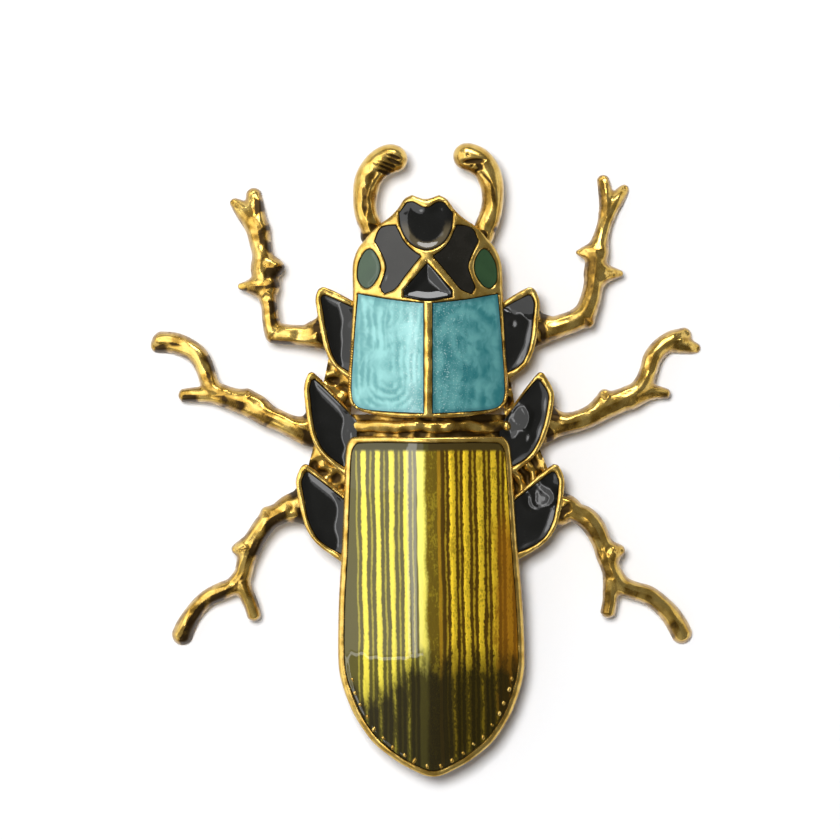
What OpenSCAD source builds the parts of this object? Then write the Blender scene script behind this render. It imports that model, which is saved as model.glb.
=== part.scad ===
// Enamelled beetle brooch, lying face up on its six feet.
// +Y runs toward the head, +X to the right and +Z out of the face.
// Across shares count from the middle line, along shares from the rear of each part.

/* [Height] */
// Height of the flat back above the surface that the feet rest on
back_z = 3; // [2.6:0.1:4]
// Height of the crown of the head and neck shield above the flat back
front_crown = 4.1; // [3.4:0.1:5]
// Height of the sides of the neck shield above the flat back
front_edge = 2.3; // [1.8:0.1:2.6]
// Height of the head's tip above the flat back
snout_edge = 1.6; // [1.4:0.1:2]
// Height of the crown of the wing cases above the flat back
wing_crown = 4.2; // [3.4:0.1:5]
// Height of the sides of the wing cases above the flat back, at the crown
wing_edge = 2.1; // [1.8:0.1:2.6]
// Height of the tail's tip above the flat back
tail_edge = 1.5; // [1.3:0.1:2]

/* [Head and neck shield] */
// Width of the neck shield at its widest
shield_w = 12.8; // [11:0.1:15]
// Length of the neck shield from its rear edge to the head
shield_len = 9.4; // [8:0.1:11]
// Length of the head from the neck shield to the tips of the snout
head_len = 8.2; // [7:0.1:10]
// How far the snout's tip leans to the left
snout_lean = 0.2; // [0:0.02:0.4]
// Distance of the crown in front of the shield's rear edge
front_crown_along = 3.4; // [2:0.1:6]

/* [Neck band] */
// Length of the band between the wing cases and the neck shield
band_len = 1.55; // [1.2:0.05:2.2]
// Width of the band from end to end
band_w = 13.4; // [11:0.1:15.4]
// Depth of the band's middle below the crown of the wing cases
band_drop = 0.9; // [0.6:0.05:1.3]
// Width of the raised bar along the band
band_bar_w = 0.6; // [0.4:0.05:0.9]
// Height of the raised bar over the band
band_bar_h = 0.3; // [0.15:0.05:0.5]

/* [Wing cases] */
// Distance of the wing cases' front edge in front of the brooch's middle
wing_front = 1.85; // [1:0.05:3]
// Length of the wing cases from the band to the tail
wing_len = 27.2; // [23:0.1:30]
// Width across the wing cases at their widest
wing_w = 14.9; // [12.6:0.1:17]
// How far the tail stands to the right of the wing cases' front
wing_lean = 0.42; // [0:0.02:0.7]
// Distance of the crown behind the wing cases' front edge
wing_crown_back = 9.5; // [7:0.1:13]
// Width of the gold rim around the wing enamel
wing_rim = 0.52; // [0.4:0.02:0.8]
// Width of the raised strip along the middle
spine_w = 1.84; // [1.2:0.04:2.2]
// Distance of the first rib from the middle
rib_first = 1.84; // [1.6:0.02:2.2]
// Distance from rib to rib
rib_pitch = 1.12; // [1:0.02:1.4]
// Width of a rib
rib_w = 0.4; // [0.3:0.02:0.5]
// Number of ribs on each side
rib_count = 4; // [2:1:4]
// Height of the ribs over the tray's floor
rib_h = 0.28; // [0.15:0.01:0.32]

/* [Leaf cells] */
// Length that the leaf cells' along shares are of
leaf_len = 8; // [7:0.1:8.6]
// Width that the leaf cells' across shares are of
leaf_w = 4; // [3.4:0.1:4.8]
// Height of a leaf cell's rim above the flat back
leaf_top = 1.7; // [1.6:0.05:2]
// Width of the gold rim around a leaf cell
leaf_rim = 0.38; // [0.3:0.02:0.5]
// How far from a leaf cell's tip its rounding starts
leaf_round = 0.5; // [0.3:0.05:0.8]
// How far a leaf cell runs into the side of the body
leaf_root = 0.2; // [0.12:0.01:0.24]
// Distance of the front leaf cells' tips in front of the wing cases
leaf_front = 12.2; // [11.4:0.1:12.8]
// Distance of the middle leaf cells' tips in front of the wing cases
leaf_middle = 5.5; // [5:0.1:6]
// Distance of the hind leaf cells' tips behind the wing cases' front edge
leaf_hind = 1.9; // [1.5:0.1:2.5]
// Height of the gold webs between the leaf cells above the flat back
web_top = 1; // [0.8:0.02:1.04]

/* [Legs and antennae] */
// Length that the front legs' shares are of
front_leg_len = 12; // [10:0.1:14]
// Length that the middle legs' shares are of
middle_leg_len = 12.4; // [10:0.1:14]
// Length that the hind legs' shares are of
hind_leg_len = 10.4; // [9:0.1:12]
// Length that the antennae's shares are of
antenna_len = 6.6; // [5.6:0.1:7.6]
// Width that the limbs' width shares are of
limb_w = 1.6; // [1.3:0.05:1.8]
// Thickness of a leg from its sole to its crest
limb_h = 1.4; // [1.2:0.05:1.5]
// Height of the legs' soles above the flat back, at their roots
leg_sole = 0.1; // [0.05:0.01:0.2]
// How strongly a leg stays up before it bends down to its foot
limb_arch = 1.6; // [1:0.1:2.5]
// Height of the antennae's undersides above the flat back
antenna_sole = 0.15; // [0.1:0.01:0.3]

/* [Enamel] */
// Depth of the cells below the tops of their walls
cell_depth = 0.6; // [0.5:0.02:0.7]
// How far the enamel lies below the tops of the walls
enamel_dish = 0.12; // [0.06:0.01:0.16]
// Clear space around each enamel fill
fit_gap = 0.04; // [0.02:0.01:0.06]

/* [Pin back] */
// Length of the bar that is soldered to the back
bar_len = 27; // [22:0.5:30]
// Width of the bar
bar_w = 4; // [3:0.1:5]
// Thickness of the bar
bar_t = 0.6; // [0.5:0.05:0.8]
// Distance of the bar's front end in front of the brooch's middle
bar_front = 13; // [11:0.1:14]
// Diameter of the pin's stem
stem_d = 0.8; // [0.7:0.05:0.9]
// Height of the stem's middle line above the surface under the feet
stem_z = 1.1; // [1.05:0.05:1.2]
// Length of the stem's free end past the catch, without its point
stem_free = 3; // [2.5:0.1:4]
// Length of the stem's point
stem_point = 2.2; // [1.5:0.1:3]
// Diameter of the hinge knuckle and of the catch
knuckle_d = 1.8; // [1.6:0.05:1.9]
// Length of the hinge knuckle, across the bar
knuckle_len = 3; // [2.4:0.1:3.6]
// Length of the catch, along the bar
catch_len = 2.4; // [1.8:0.1:3]
// Distance of the hinge and the catch from the bar's ends
bar_margin = 1.4; // [1.1:0.1:2]

/* [Hidden] */

$fn = 96;

GOLD = "#d2a23a";
BLACK = "#141312";
SMOKE = "#2c2a29";
GREEN = "#2f4a2c";
TURQUOISE = "#6fb9bb";
OLIVE = "#8a7d1e";
PIN_METAL = "#b58f3c";

LEFT = -1;
RIGHT = 1;

// Steps of a smooth line between two of its rows
curve_steps = 3;
// Steps of a limb's middle line between two of its rows
limb_steps = 2;
// Thickness of the plate that ties the body together under the cells
plate_t = 0.9;
// How far the plate stays inside the sides of the body
plate_in = 0.2;
// How far the plate reaches under the two domes
plate_reach = 1.2;
// Height that every upright cut reaches, and how far a cutter runs past what it cuts
sky = 20;
past = 1;
// Facets of the large round surfaces
dome_facets = 180;
// Least share of a line's sharpest turn that moving it inward allows for
least_turn = 0.25;
// How far one solid runs into the next where the metal is one
weld = 0.3;
// Thickness of a leaf cell's tip and of its root, in rims
tip_rims = 1.6;
root_rims = 1.6;
// Round end of a limb: how far its last ring and its tip stand out, in half widths,
// and how wide that ring is
nose_ring = [0.35, 0.66];
nose_tip = 0.5;
// Width of the posts under the bar as a share of the knuckle
post_share = 0.8;
// Radius of the point's end as a share of the stem's
point_share = 0.2;

wing_tail = wing_front - wing_len;
shield_rear = wing_front + band_len;
shield_front = shield_rear + shield_len;

// Half of the head and shield's outline from the middle of the rear edge to the notch
// of the snout: [across share, along share, corner]
SHIELD_SIDE = [
    [0, 0, 0], [0.35, 0, 0], [0.6, 0.02, 0], [0.82, 0.05, 0], [0.95, 0.1, 0], [0.99, 0.16, 0],
    [1, 0.26, 0], [0.97, 0.58, 0], [0.95, 0.83, 0]
];
HEAD_SIDE = [
    [0.935, 0.08, 0], [0.935, 0.25, 0], [0.92, 0.38, 0], [0.86, 0.5, 0], [0.77, 0.59, 0],
    [0.69, 0.675, 0], [0.58, 0.74, 0], [0.45, 0.81, 0], [0.35, 0.89, 0], [0.265, 0.985, 0],
    [0.17, 1.025, 1], [0, 0.985, 0]
];

// Half of the wing cases' outline from the front's middle to the tail:
// [across share, share of the length behind the front edge, corner]
WING_SIDE = [
    [0, 0, 0], [0.8, 0, 0], [0.86, 0.015, 0], [0.885, 0.04, 0], [0.905, 0.13, 0],
    [0.945, 0.335, 0], [0.985, 0.49, 0], [1, 0.66, 0], [0.97, 0.72, 0], [0.87, 0.8, 0],
    [0.77, 0.85, 0], [0.635, 0.9, 0], [0.46, 0.94, 0], [0.29, 0.97, 0], [0, 1, 0]
];

// Cells of the head: [across share of the shield, along share of the head, corner]
SNOUT_HALF = [
    [0, 0.488, 0], [0.2, 0.553, 0], [0.31, 0.693, 0], [0.335, 0.845, 1], [0.235, 0.945, 1],
    [0.165, 0.955, 0], [0, 0.9, 0]
];
BROW_HALF = [[0, -0.005, 0], [0.295, 0.03, 1], [0.3, 0.09, 1], [0, 0.356, 1]];
CHEEK = [
    [0.385, 0.727, 1], [0.345, 0.663, 0], [0.29, 0.575, 0], [0.2, 0.493, 0], [0.08, 0.425, 1],
    [0.27, 0.244, 0], [0.41, 0.107, 0], [0.54, 0.06, 1], [0.585, 0.117, 0], [0.54, 0.224, 0],
    [0.51, 0.32, 0], [0.55, 0.43, 0], [0.645, 0.575, 1], [0.58, 0.69, 0], [0.5, 0.72, 0]
];
EYE = [
    [0.72, 0.5, 1], [0.63, 0.43, 0], [0.59, 0.31, 0], [0.64, 0.195, 0], [0.755, 0.11, 1],
    [0.85, 0.17, 0], [0.87, 0.27, 0], [0.83, 0.4, 0]
];
// A panel of the neck shield: [across share, along share of the shield, corner]
SHIELD_PANEL = [
    [0.056, 0.035, 1], [0.59, 0.055, 0], [0.86, 0.085, 0], [0.94, 0.15, 0], [0.955, 0.28, 0],
    [0.93, 0.56, 0], [0.9, 0.83, 0], [0.87, 1.05, 1], [0.46, 1, 0], [0.056, 0.97, 1]
];

// Leaf cells, the left one first: [tip out, bulge out, bulge back, low out, low back,
// foot back, root back]; out shares are of leaf_w, back shares of leaf_len
LEAF_FRONT = [
    [0.65, 0.71, 0.19, 0.445, 0.75, 0.99, 0.17],
    [0.58, 0.7, 0.22, 0.51, 0.75, 1, 0.18]
];
LEAF_MIDDLE = [
    [0.78, 0.885, 0.24, 0.67, 0.77, 1.13, 0.43],
    [0.68, 0.93, 0.3, 0.62, 0.82, 1.12, 0.48]
];
LEAF_HIND = [
    [0.81, 0.945, 0.24, 0.67, 0.745, 1.05, 0.36],
    [0.85, 0.99, 0.24, 0.74, 0.74, 1.03, 0.37]
];

// Where a web meets the leaf cell in front of it and the one behind it, the left one first:
// [share of the way from low point to foot, share of the way from tip to root]
FRONT_WEB = [[0, 0.25], [0.75, 0.7]];
HIND_WEB = [[0, 0], [0, 0.1]];

// Roots of the legs on the rims of the leaf cells, the left one first:
// [out share of leaf_w, back share of leaf_len]
FRONT_ROOT = [[0.61, 0.4875], [0.62, 0.4475]];
MIDDLE_ROOT = [[0.71, 0.6275], [0.7, 0.5725]];
HIND_ROOT = [[0.83, 0.4625], [0.86, 0.5]];

// Legs: the first line of rows is the leg, the others are its spurs and toes.
// A row is [outward share, forward share, width share] from the root
FRONT_LEG_LEFT = [
    [[-0.045, 0, 0.8], [0.015, -0.005, 1.4], [0.095, -0.015, 1.1], [0.175, -0.01, 1], [0.25, -0.005, 1],
     [0.31, 0.01, 0.95], [0.335, 0.08, 0.85], [0.345, 0.17, 0.8], [0.36, 0.25, 0.85],
     [0.375, 0.34, 1], [0.39, 0.435, 1.05], [0.395, 0.53, 1], [0.415, 0.64, 1.075],
     [0.435, 0.755, 1.05], [0.445, 0.85, 0.9], [0.455, 0.94, 0.75]],
    [[0.295, 0.01, 0.85], [0.335, -0.03, 0.45]],
    [[0.365, 0.315, 1.3], [0.435, 0.315, 0.95], [0.495, 0.315, 0.55], [0.545, 0.315, 0.3]],
    [[0.365, 0.435, 1.5], [0.31, 0.44, 0.95], [0.27, 0.44, 0.4]],
    [[0.415, 0.69, 1], [0.495, 0.79, 0.95], [0.56, 0.86, 0.65], [0.595, 0.885, 0.35]]
];
FRONT_LEG_RIGHT = [
    [[-0.045, 0.01, 0.8], [0.015, 0, 1.5], [0.065, 0.005, 1.35], [0.12, 0.01, 1.15], [0.185, 0.03, 1.1],
     [0.265, 0.06, 1.1], [0.33, 0.11, 1.1], [0.365, 0.19, 1.05], [0.385, 0.275, 1],
     [0.4, 0.37, 1], [0.405, 0.47, 1], [0.425, 0.56, 0.9], [0.45, 0.655, 0.75],
     [0.475, 0.75, 0.75], [0.48, 0.84, 0.75], [0.47, 0.93, 0.7], [0.455, 1.01, 0.6]],
    [[0.32, 0.085, 0.8], [0.365, 0.04, 0.5]],
    [[0.415, 0.515, 1.1], [0.345, 0.515, 0.7], [0.305, 0.515, 0.4], [0.28, 0.515, 0.2]],
    [[0.415, 0.375, 1.3], [0.48, 0.375, 0.85], [0.54, 0.375, 0.5], [0.575, 0.375, 0.3]],
    [[0.485, 0.77, 0.7], [0.54, 0.86, 0.75], [0.585, 0.925, 0.6], [0.605, 0.95, 0.4]]
];
MIDDLE_LEG_LEFT = [
    [[-0.05, 0.01, 0.8], [0.005, 0, 1.5], [0.07, 0.005, 1.3], [0.14, 0.03, 1.1], [0.215, 0.065, 1.05],
     [0.295, 0.1, 1.15], [0.365, 0.15, 1.3], [0.43, 0.18, 1.275], [0.5, 0.2, 1.15],
     [0.58, 0.23, 0.95], [0.645, 0.27, 0.9], [0.68, 0.335, 0.9], [0.705, 0.41, 0.925],
     [0.745, 0.485, 0.975], [0.81, 0.535, 1], [0.9, 0.57, 1.05], [0.995, 0.58, 1]],
    [[0.425, 0.205, 0.8], [0.425, 0.25, 0.35]],
    [[0.585, 0.225, 1], [0.66, 0.23, 0.75], [0.755, 0.235, 0.75], [0.845, 0.23, 0.65]],
    [[0.965, 0.565, 0.75], [1.03, 0.545, 0.5]]
];
MIDDLE_LEG_RIGHT = [
    [[-0.05, 0.01, 0.8], [0.005, 0, 1.6], [0.07, 0.01, 1.4], [0.13, 0.01, 1.15], [0.195, 0.02, 1.05],
     [0.265, 0.04, 1.05], [0.335, 0.075, 1.1], [0.405, 0.12, 1.25], [0.48, 0.15, 1.2],
     [0.55, 0.18, 1.125], [0.615, 0.22, 1], [0.66, 0.28, 0.95], [0.69, 0.355, 0.9],
     [0.715, 0.435, 0.95], [0.77, 0.505, 0.95], [0.84, 0.545, 1], [0.9, 0.55, 1]],
    [[0.405, 0.155, 0.9], [0.4, 0.21, 0.45]],
    [[0.575, 0.17, 1], [0.66, 0.2, 0.8], [0.73, 0.215, 0.7], [0.81, 0.205, 0.5]],
    [[0.87, 0.555, 0.9], [0.935, 0.595, 0.65]],
    [[0.89, 0.53, 0.9], [0.96, 0.51, 0.7], [1.005, 0.5, 0.5]]
];
HIND_LEG_LEFT = [
    [[-0.05, 0.01, 0.8], [0.005, 0, 1.5], [0.085, -0.01, 1.4], [0.16, -0.045, 1.15], [0.24, -0.09, 1.05],
     [0.305, -0.16, 1.025], [0.36, -0.245, 1], [0.405, -0.34, 0.95], [0.435, -0.43, 0.925],
     [0.46, -0.525, 0.875], [0.53, -0.61, 0.85], [0.625, -0.655, 0.9], [0.72, -0.7, 0.85],
     [0.795, -0.765, 0.85], [0.86, -0.85, 0.9], [0.905, -0.93, 1], [0.935, -1.005, 1.05]],
    [[0.255, -0.065, 0.8], [0.29, -0.03, 0.3]],
    [[0.415, -0.315, 1.1], [0.475, -0.325, 0.75], [0.52, -0.33, 0.4]],
    [[0.475, -0.585, 0.9], [0.435, -0.67, 0.8], [0.395, -0.76, 0.75], [0.37, -0.845, 0.7]]
];
HIND_LEG_RIGHT = [
    [[-0.055, 0, 0.8], [0, 0, 1.5], [0.07, 0.02, 1.3], [0.14, -0.015, 1],
     [0.215, -0.055, 1.1], [0.28, -0.125, 1.1], [0.33, -0.225, 1], [0.365, -0.315, 0.95],
     [0.395, -0.41, 0.925], [0.435, -0.5, 0.95],
     [0.5, -0.58, 0.95], [0.595, -0.62, 0.9], [0.7, -0.655, 0.95], [0.79, -0.72, 0.95],
     [0.87, -0.8, 1], [0.93, -0.89, 1.05], [0.97, -0.965, 1.05]],
    [[0.395, -0.33, 1.2], [0.45, -0.315, 0.8], [0.49, -0.31, 0.5]],
    [[0.425, -0.54, 0.95], [0.41, -0.625, 0.8], [0.405, -0.7, 0.75], [0.39, -0.79, 0.75]]
];

// Antennae: [outward share, forward share, width share] from the root on the head's side
ANTENNA_LEFT = [
    [0, -0.12, 0.9], [-0.02, -0.01, 1.1], [0.03, 0.11, 1.125], [0.055, 0.235, 1.15],
    [0.055, 0.355, 1.2], [0.04, 0.475, 1.3], [0.005, 0.595, 1.35], [-0.07, 0.71, 1.4],
    [-0.165, 0.79, 1.45], [-0.26, 0.825, 1.45], [-0.32, 0.815, 1.25]
];
ANTENNA_RIGHT = [
    [0.02, -0.12, 0.9], [0.03, -0.02, 1.1], [0.08, 0.11, 1.1], [0.11, 0.235, 1.075],
    [0.12, 0.355, 1.1], [0.115, 0.475, 1.15], [0.085, 0.595, 1.25], [0.03, 0.71, 1.3],
    [-0.06, 0.795, 1.4], [-0.16, 0.84, 1.4], [-0.215, 0.855, 1.3]
];
// Where the antennae's roots stand: [across share of the shield, along share of the head]
ANTENNA_ROOT = [0.71, 0.72];

// Section of a limb seen from its end: [across share of half the width, up share of half
// the height], with a crest along the top
LIMB_SECTION = [
    [1, -0.1], [0.72, 0.55], [0, 1], [-0.72, 0.55], [-1, -0.1], [-0.75, -0.75], [0, -1],
    [0.75, -0.75]
];

// A vector of length 1
function unit(v) = v / norm(v);
function across_up(v) = [v[0], v[1]];

// Point at share t of the smooth step from p to q that leaves along m and arrives along n
function eased(p, q, m, n, t) =
    (2 * t ^ 3 - 3 * t ^ 2 + 1) * p + (t ^ 3 - 2 * t ^ 2 + t) * m
    + (3 * t ^ 2 - 2 * t ^ 3) * q + (t ^ 3 - t ^ 2) * n;

// Closed smooth line through rows of [x, y, corner], sharp where corner is 1
function smooth_loop(rows) =
    let (n = len(rows), p = [for (r = rows) across_up(r)])
    [for (i = [0:n - 1])
        let (
            j = (i + 1) % n,
            chord = p[j] - p[i],
            leave = rows[i][2] == 1 ? chord
                : norm(chord) * unit(p[j] - p[(i + n - 1) % n]),
            arrive = rows[j][2] == 1 ? chord
                : norm(chord) * unit(p[(j + 1) % n] - p[i]),
            steps = rows[i][2] == 1 && rows[j][2] == 1 ? 1 : curve_steps
        )
        each [for (k = [0:steps - 1]) eased(p[i], p[j], leave, arrive, k / steps)]];

// Closed line moved inward by d; the line runs against the clock
function inset(line, d) =
    let (n = len(line))
    [for (i = [0:n - 1])
        let (
            u = unit(line[i] - line[(i + n - 1) % n]),
            v = unit(line[(i + 1) % n] - line[i]),
            turn = max(least_turn, 1 + u * v)
        )
        line[i] + d * [-u[1] - v[1], u[0] + v[0]] / turn];

// Rows that mirror the ones given, in the other order, so that the line still runs on
function mirrored(rows) =
    [for (i = [len(rows) - 1:-1:0]) [-rows[i][0], rows[i][1], rows[i][2]]];
function whole(half) =
    let (inner = [for (i = [1:len(half) - 2]) half[i]])
    concat(half, mirrored(inner));

// Rows of the head and of the shield at their real places
function head_lean(along) = -snout_lean * max(0, along);
function head_rows(rows) =
    [for (r = rows) [r[0] * shield_w / 2, shield_front + r[1] * head_len, r[2]]];
function shield_rows(rows) =
    [for (r = rows) [r[0] * shield_w / 2, shield_rear + r[1] * shield_len, r[2]]];
function leaning(line) =
    [for (p = line) [p[0] + head_lean((p[1] - shield_front) / head_len), p[1]]];

front_outline = leaning(smooth_loop(whole(concat(shield_rows(SHIELD_SIDE), head_rows(HEAD_SIDE)))));
snout_line = leaning(smooth_loop(whole(head_rows(SNOUT_HALF))));
brow_line = leaning(smooth_loop(whole(head_rows(BROW_HALF))));
cheek_rows = head_rows(CHEEK);
eye_rows = head_rows(EYE);
panel_rows = shield_rows(SHIELD_PANEL);

// A cell's line on one side of the body, against the clock on both
function side_line(rows, side) =
    leaning(smooth_loop(side == RIGHT ? turned(rows) : mirrored(turned(rows))));
// The rows in the order that runs against the clock on the right
function area(rows) =
    let (n = len(rows))
    sum([for (i = [0:n - 1])
        let (p = rows[i], q = rows[(i + 1) % n]) (p[0] * q[1] - q[0] * p[1]) / 2]);
function sum(v, i = 0) = i < len(v) ? v[i] + sum(v, i + 1) : 0;
function turned(rows) = area(rows) > 0 ? rows : [for (i = [len(rows) - 1:-1:0]) rows[i]];

// The wing cases' line at its real place, drawn smaller by `rim` all round, with the lean
function wing_lean_at(y) = wing_lean * min(1, max(0, (wing_front - y) / wing_len));
function wing_rows(rim) =
    [for (r = WING_SIDE)
        [r[0] * (wing_w / 2 - rim), wing_front - rim - r[1] * (wing_len - 2 * rim), r[2]]];
function wing_line(rim) =
    [for (p = smooth_loop(turned(whole(wing_rows(rim))))) [p[0] + wing_lean_at(p[1]), p[1]]];

// Half width of the body at a place along it, for what stands on its side
SIDE_WIDTHS = concat(
    [for (i = [len(WING_SIDE) - 1:-1:3])
        let (r = wing_rows(0)[i]) [r[1], r[0]]],
    [[wing_front + 0.5 * band_len, min(band_w, shield_w, wing_w) / 2]],
    [for (i = [5:len(SHIELD_SIDE) - 1])
        [shield_rear + SHIELD_SIDE[i][1] * shield_len, SHIELD_SIDE[i][0] * shield_w / 2]],
    [for (i = [0:2])
        [shield_front + HEAD_SIDE[i][1] * head_len, HEAD_SIDE[i][0] * shield_w / 2]]
);
function side_x(y) = lookup(y, SIDE_WIDTHS);
function body_side(side, y) = side * side_x(y) + wing_lean_at(y);

// Places of the leaf cells' tips along the body
front_tip = wing_front + leaf_front;
middle_tip = wing_front + leaf_middle;
hind_tip = wing_front - leaf_hind;

// Line of the body's side that a leaf cell's out shares count from
function leaf_base(side, tip) = body_side(side, tip - leaf_len / 2);

// Points of a leaf cell's line, drawn smaller by `rim`: root, both sides of the round tip,
// bulge, low point, foot
function leaf_rows(side, row, tip, rim) =
    let (
        base = leaf_base(side, tip),
        inner = leaf_root + rim,
        root = [base - side * inner, tip - row[6] * leaf_len - root_rims * rim],
        point = [base + side * (row[0] * leaf_w - rim / 2), tip - tip_rims * rim],
        bulge = [base + side * (row[1] * leaf_w - rim), tip - row[2] * leaf_len],
        rounding = leaf_round - rim / 2,
        above = point + rounding * unit(root - point),
        below = point + rounding * unit(bulge - point)
    )
    [
        [root[0], root[1], 1],
        [above[0], above[1], 0],
        [below[0], below[1], 0],
        [bulge[0], bulge[1], 0],
        [base + side * (row[3] * leaf_w - rim), tip - row[4] * leaf_len, 0],
        [base - side * inner, tip - row[5] * leaf_len + rim, 1]
    ];
function leaf_line(side, row, tip, rim) = smooth_loop(turned(leaf_rows(side, row, tip, rim)));

// Line of the web between a leaf cell and the one behind it; it runs into both
function web_line(side, row_a, tip_a, row_b, tip_b, meets) =
    let (
        a = leaf_rows(side, row_a, tip_a, 0),
        b = leaf_rows(side, row_b, tip_b, 0),
        into = [0, weld, 0]
    )
    [for (p = turned([
        a[4] + meets[0] * (a[5] - a[4]) + into, a[5] + into,
        b[0] - into, b[1] + meets[1] * (b[0] - b[1]) - into
    ])) across_up(p)];

// Open smooth line through the rows of a limb, with the width shares between
function smooth_rows(rows) =
    let (n = len(rows), p = [for (r = rows) across_up(r)])
    [for (i = [0:n - 2], k = [0:limb_steps - 1])
        let (
            chord = p[i + 1] - p[i],
            leave = i == 0 ? chord : norm(chord) * unit(p[i + 1] - p[i - 1]),
            arrive = i == n - 2 ? chord : norm(chord) * unit(p[i + 2] - p[i]),
            t = k / limb_steps,
            here = eased(p[i], p[i + 1], leave, arrive, t)
        )
        [here[0], here[1], rows[i][2] * (1 - t) + rows[i + 1][2] * t]];

// Half the thickness of a limb that is `half` wide on each side
function limb_rise(half) = min(half, limb_w / 2) * limb_h / limb_w;

// Middle line of a limb with its half widths: [x, y, z, half width]. Its sole falls from
// z_root to z_end as it gets `reach` shares away from the root, and it ends in a round nose
function limb_path(root, side, length, rows, z_root, z_end, reach) =
    let (
        last = rows[len(rows) - 1],
        line = concat(smooth_rows(rows), [last]),
        before = rows[len(rows) - 2],
        ahead = unit(across_up(last) - across_up(before)),
        half = last[2] * limb_w / 2 / length,
        nose = across_up(last) + nose_ring[0] * half * ahead,
        all = concat(line, [[nose[0], nose[1], last[2] * nose_ring[1]]])
    )
    [for (r = all)
        let (
            away = min(1, norm([r[0], r[1]]) / reach),
            half = r[2] * limb_w / 2,
            sole = z_end + (z_root - z_end) * (1 - away ^ limb_arch)
        )
        [root[0] + side * r[0] * length, root[1] + r[1] * length, sole + limb_rise(half), half]];

function path_point(path, i) = [path[i][0], path[i][1], path[i][2]];
function path_ahead(path, i) =
    unit(path_point(path, min(i + 1, len(path) - 1)) - path_point(path, max(i - 1, 0)));

// Ring of points around a limb's middle line, kept on the surface under the feet
function limb_ring(path, i) =
    let (
        ahead = path_ahead(path, i),
        right = unit(cross(ahead, [0, 0, 1])),
        up = cross(right, ahead),
        half = path[i][3],
        rise = limb_rise(half)
    )
    [for (s = LIMB_SECTION)
        let (p = path_point(path, i) + s[0] * half * right + s[1] * rise * up)
        [p[0], p[1], max(0, p[2])]];
function limb_end(path) =
    let (i = len(path) - 1, p = path_point(path, i) + nose_tip * path[i][3] * path_ahead(path, i))
    [p[0], p[1], max(0, p[2])];

// Arch radius of a surface that drops by `drop` over `reach`
function arch_radius(reach, drop) = (reach ^ 2 + drop ^ 2) / (2 * drop);

front_reach = shield_front + head_len - shield_rear - front_crown_along;
front_arch_r = arch_radius(shield_w / 2, front_crown - front_edge);
front_bow_r = arch_radius(front_reach, front_crown - snout_edge);
wing_arch_r = arch_radius(wing_w / 2, wing_crown - wing_edge);
wing_bow_r = arch_radius(wing_len - wing_crown_back, wing_crown - tail_edge);

// Everything under a surface that is arched across and bowed along, sunk by `sink`
module barrel(arch_r, bow_r, half_w, crown, along, sink) {
    translate([0, along, back_z + crown - bow_r])
        rotate([0, 90, 0])
            rotate_extrude($fn = dome_facets)
                intersection() {
                    translate([bow_r - arch_r, 0]) circle(r = arch_r - sink);
                    translate([0, -half_w]) square([bow_r + past, 2 * half_w]);
                }
}

module front_barrel(sink) {
    barrel(front_arch_r, front_bow_r, shield_w / 2 + past, front_crown,
        shield_rear + front_crown_along, sink);
}

module wing_barrel(sink) {
    translate([wing_lean / 2, 0, 0])
        barrel(wing_arch_r, wing_bow_r, wing_w / 2 + past, wing_crown,
            wing_front - wing_crown_back, sink);
}

module upright(line, z = back_z, h = sky) {
    translate([0, 0, z]) linear_extrude(h) polygon(line);
}

// Enamel in one cell of the head or the shield
module front_enamel(line) {
    difference() {
        intersection() {
            upright(inset(line, fit_gap));
            front_barrel(enamel_dish);
        }
        front_barrel(cell_depth - fit_gap);
    }
}

module head_and_shield() {
    difference() {
        intersection() {
            upright(front_outline);
            front_barrel(0);
        }
        difference() {
            union() {
                upright(snout_line);
                upright(brow_line);
                for (side = [LEFT, RIGHT]) {
                    upright(side_line(cheek_rows, side));
                    upright(side_line(eye_rows, side));
                    upright(side_line(panel_rows, side));
                }
            }
            front_barrel(cell_depth);
        }
    }
}

// Upright strips where the ribs stand, each wider by `more`
module rib_strips(more) {
    spine = spine_w / 2 + more;
    translate([-spine, wing_tail, back_z]) cube([2 * spine, wing_len, sky]);
    for (side = [LEFT, RIGHT], i = [0:rib_count - 1])
        translate([side * (rib_first + i * rib_pitch) - rib_w / 2 - more, wing_tail, back_z])
            cube([rib_w + 2 * more, wing_len, sky]);
}

module wing_tray() {
    difference() {
        intersection() {
            upright(wing_line(0));
            wing_barrel(0);
        }
        difference() {
            upright(wing_line(wing_rim));
            wing_barrel(cell_depth);
            intersection() {
                rib_strips(0);
                wing_barrel(cell_depth - rib_h);
            }
        }
    }
}

module neck_band() {
    crown = wing_crown - band_drop;
    r = arch_radius(band_w / 2, crown - plate_t);
    y0 = wing_front - weld;
    intersection() {
        translate([-band_w / 2, y0, back_z]) cube([band_w, band_len + 2 * weld, sky]);
        translate([0, y0 - weld, back_z + crown - r])
            rotate([-90, 0, 0]) cylinder(r = r, h = band_len + 4 * weld, $fn = dome_facets);
    }
    intersection() {
        translate([-band_w / 2, wing_front + (band_len - band_bar_w) / 2, back_z])
            cube([band_w, band_bar_w, sky]);
        translate([0, y0 - weld, back_z + crown - r])
            rotate([-90, 0, 0]) cylinder(r = r + band_bar_h, h = band_len + 4 * weld, $fn = dome_facets);
    }
}

// Plate that ties the two domes together under the band
module neck_plate() {
    half = min(shield_w, wing_w, band_w) / 2 - plate_in;
    translate([-half, wing_front - plate_reach, back_z])
        cube([2 * half, band_len + 2 * plate_reach, plate_t]);
}

// A leaf cell with the leg that stands on its rim, kept clear of the cell
module leaf_cell(side, row, tip, root, leg_len, table) {
    difference() {
        union() {
            upright(leaf_line(side, row, tip, 0), back_z, leaf_top);
            leg(side, row, tip, root, leg_len, table);
        }
        upright(leaf_line(side, row, tip, leaf_rim), back_z + leaf_top - cell_depth);
    }
}

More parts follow.
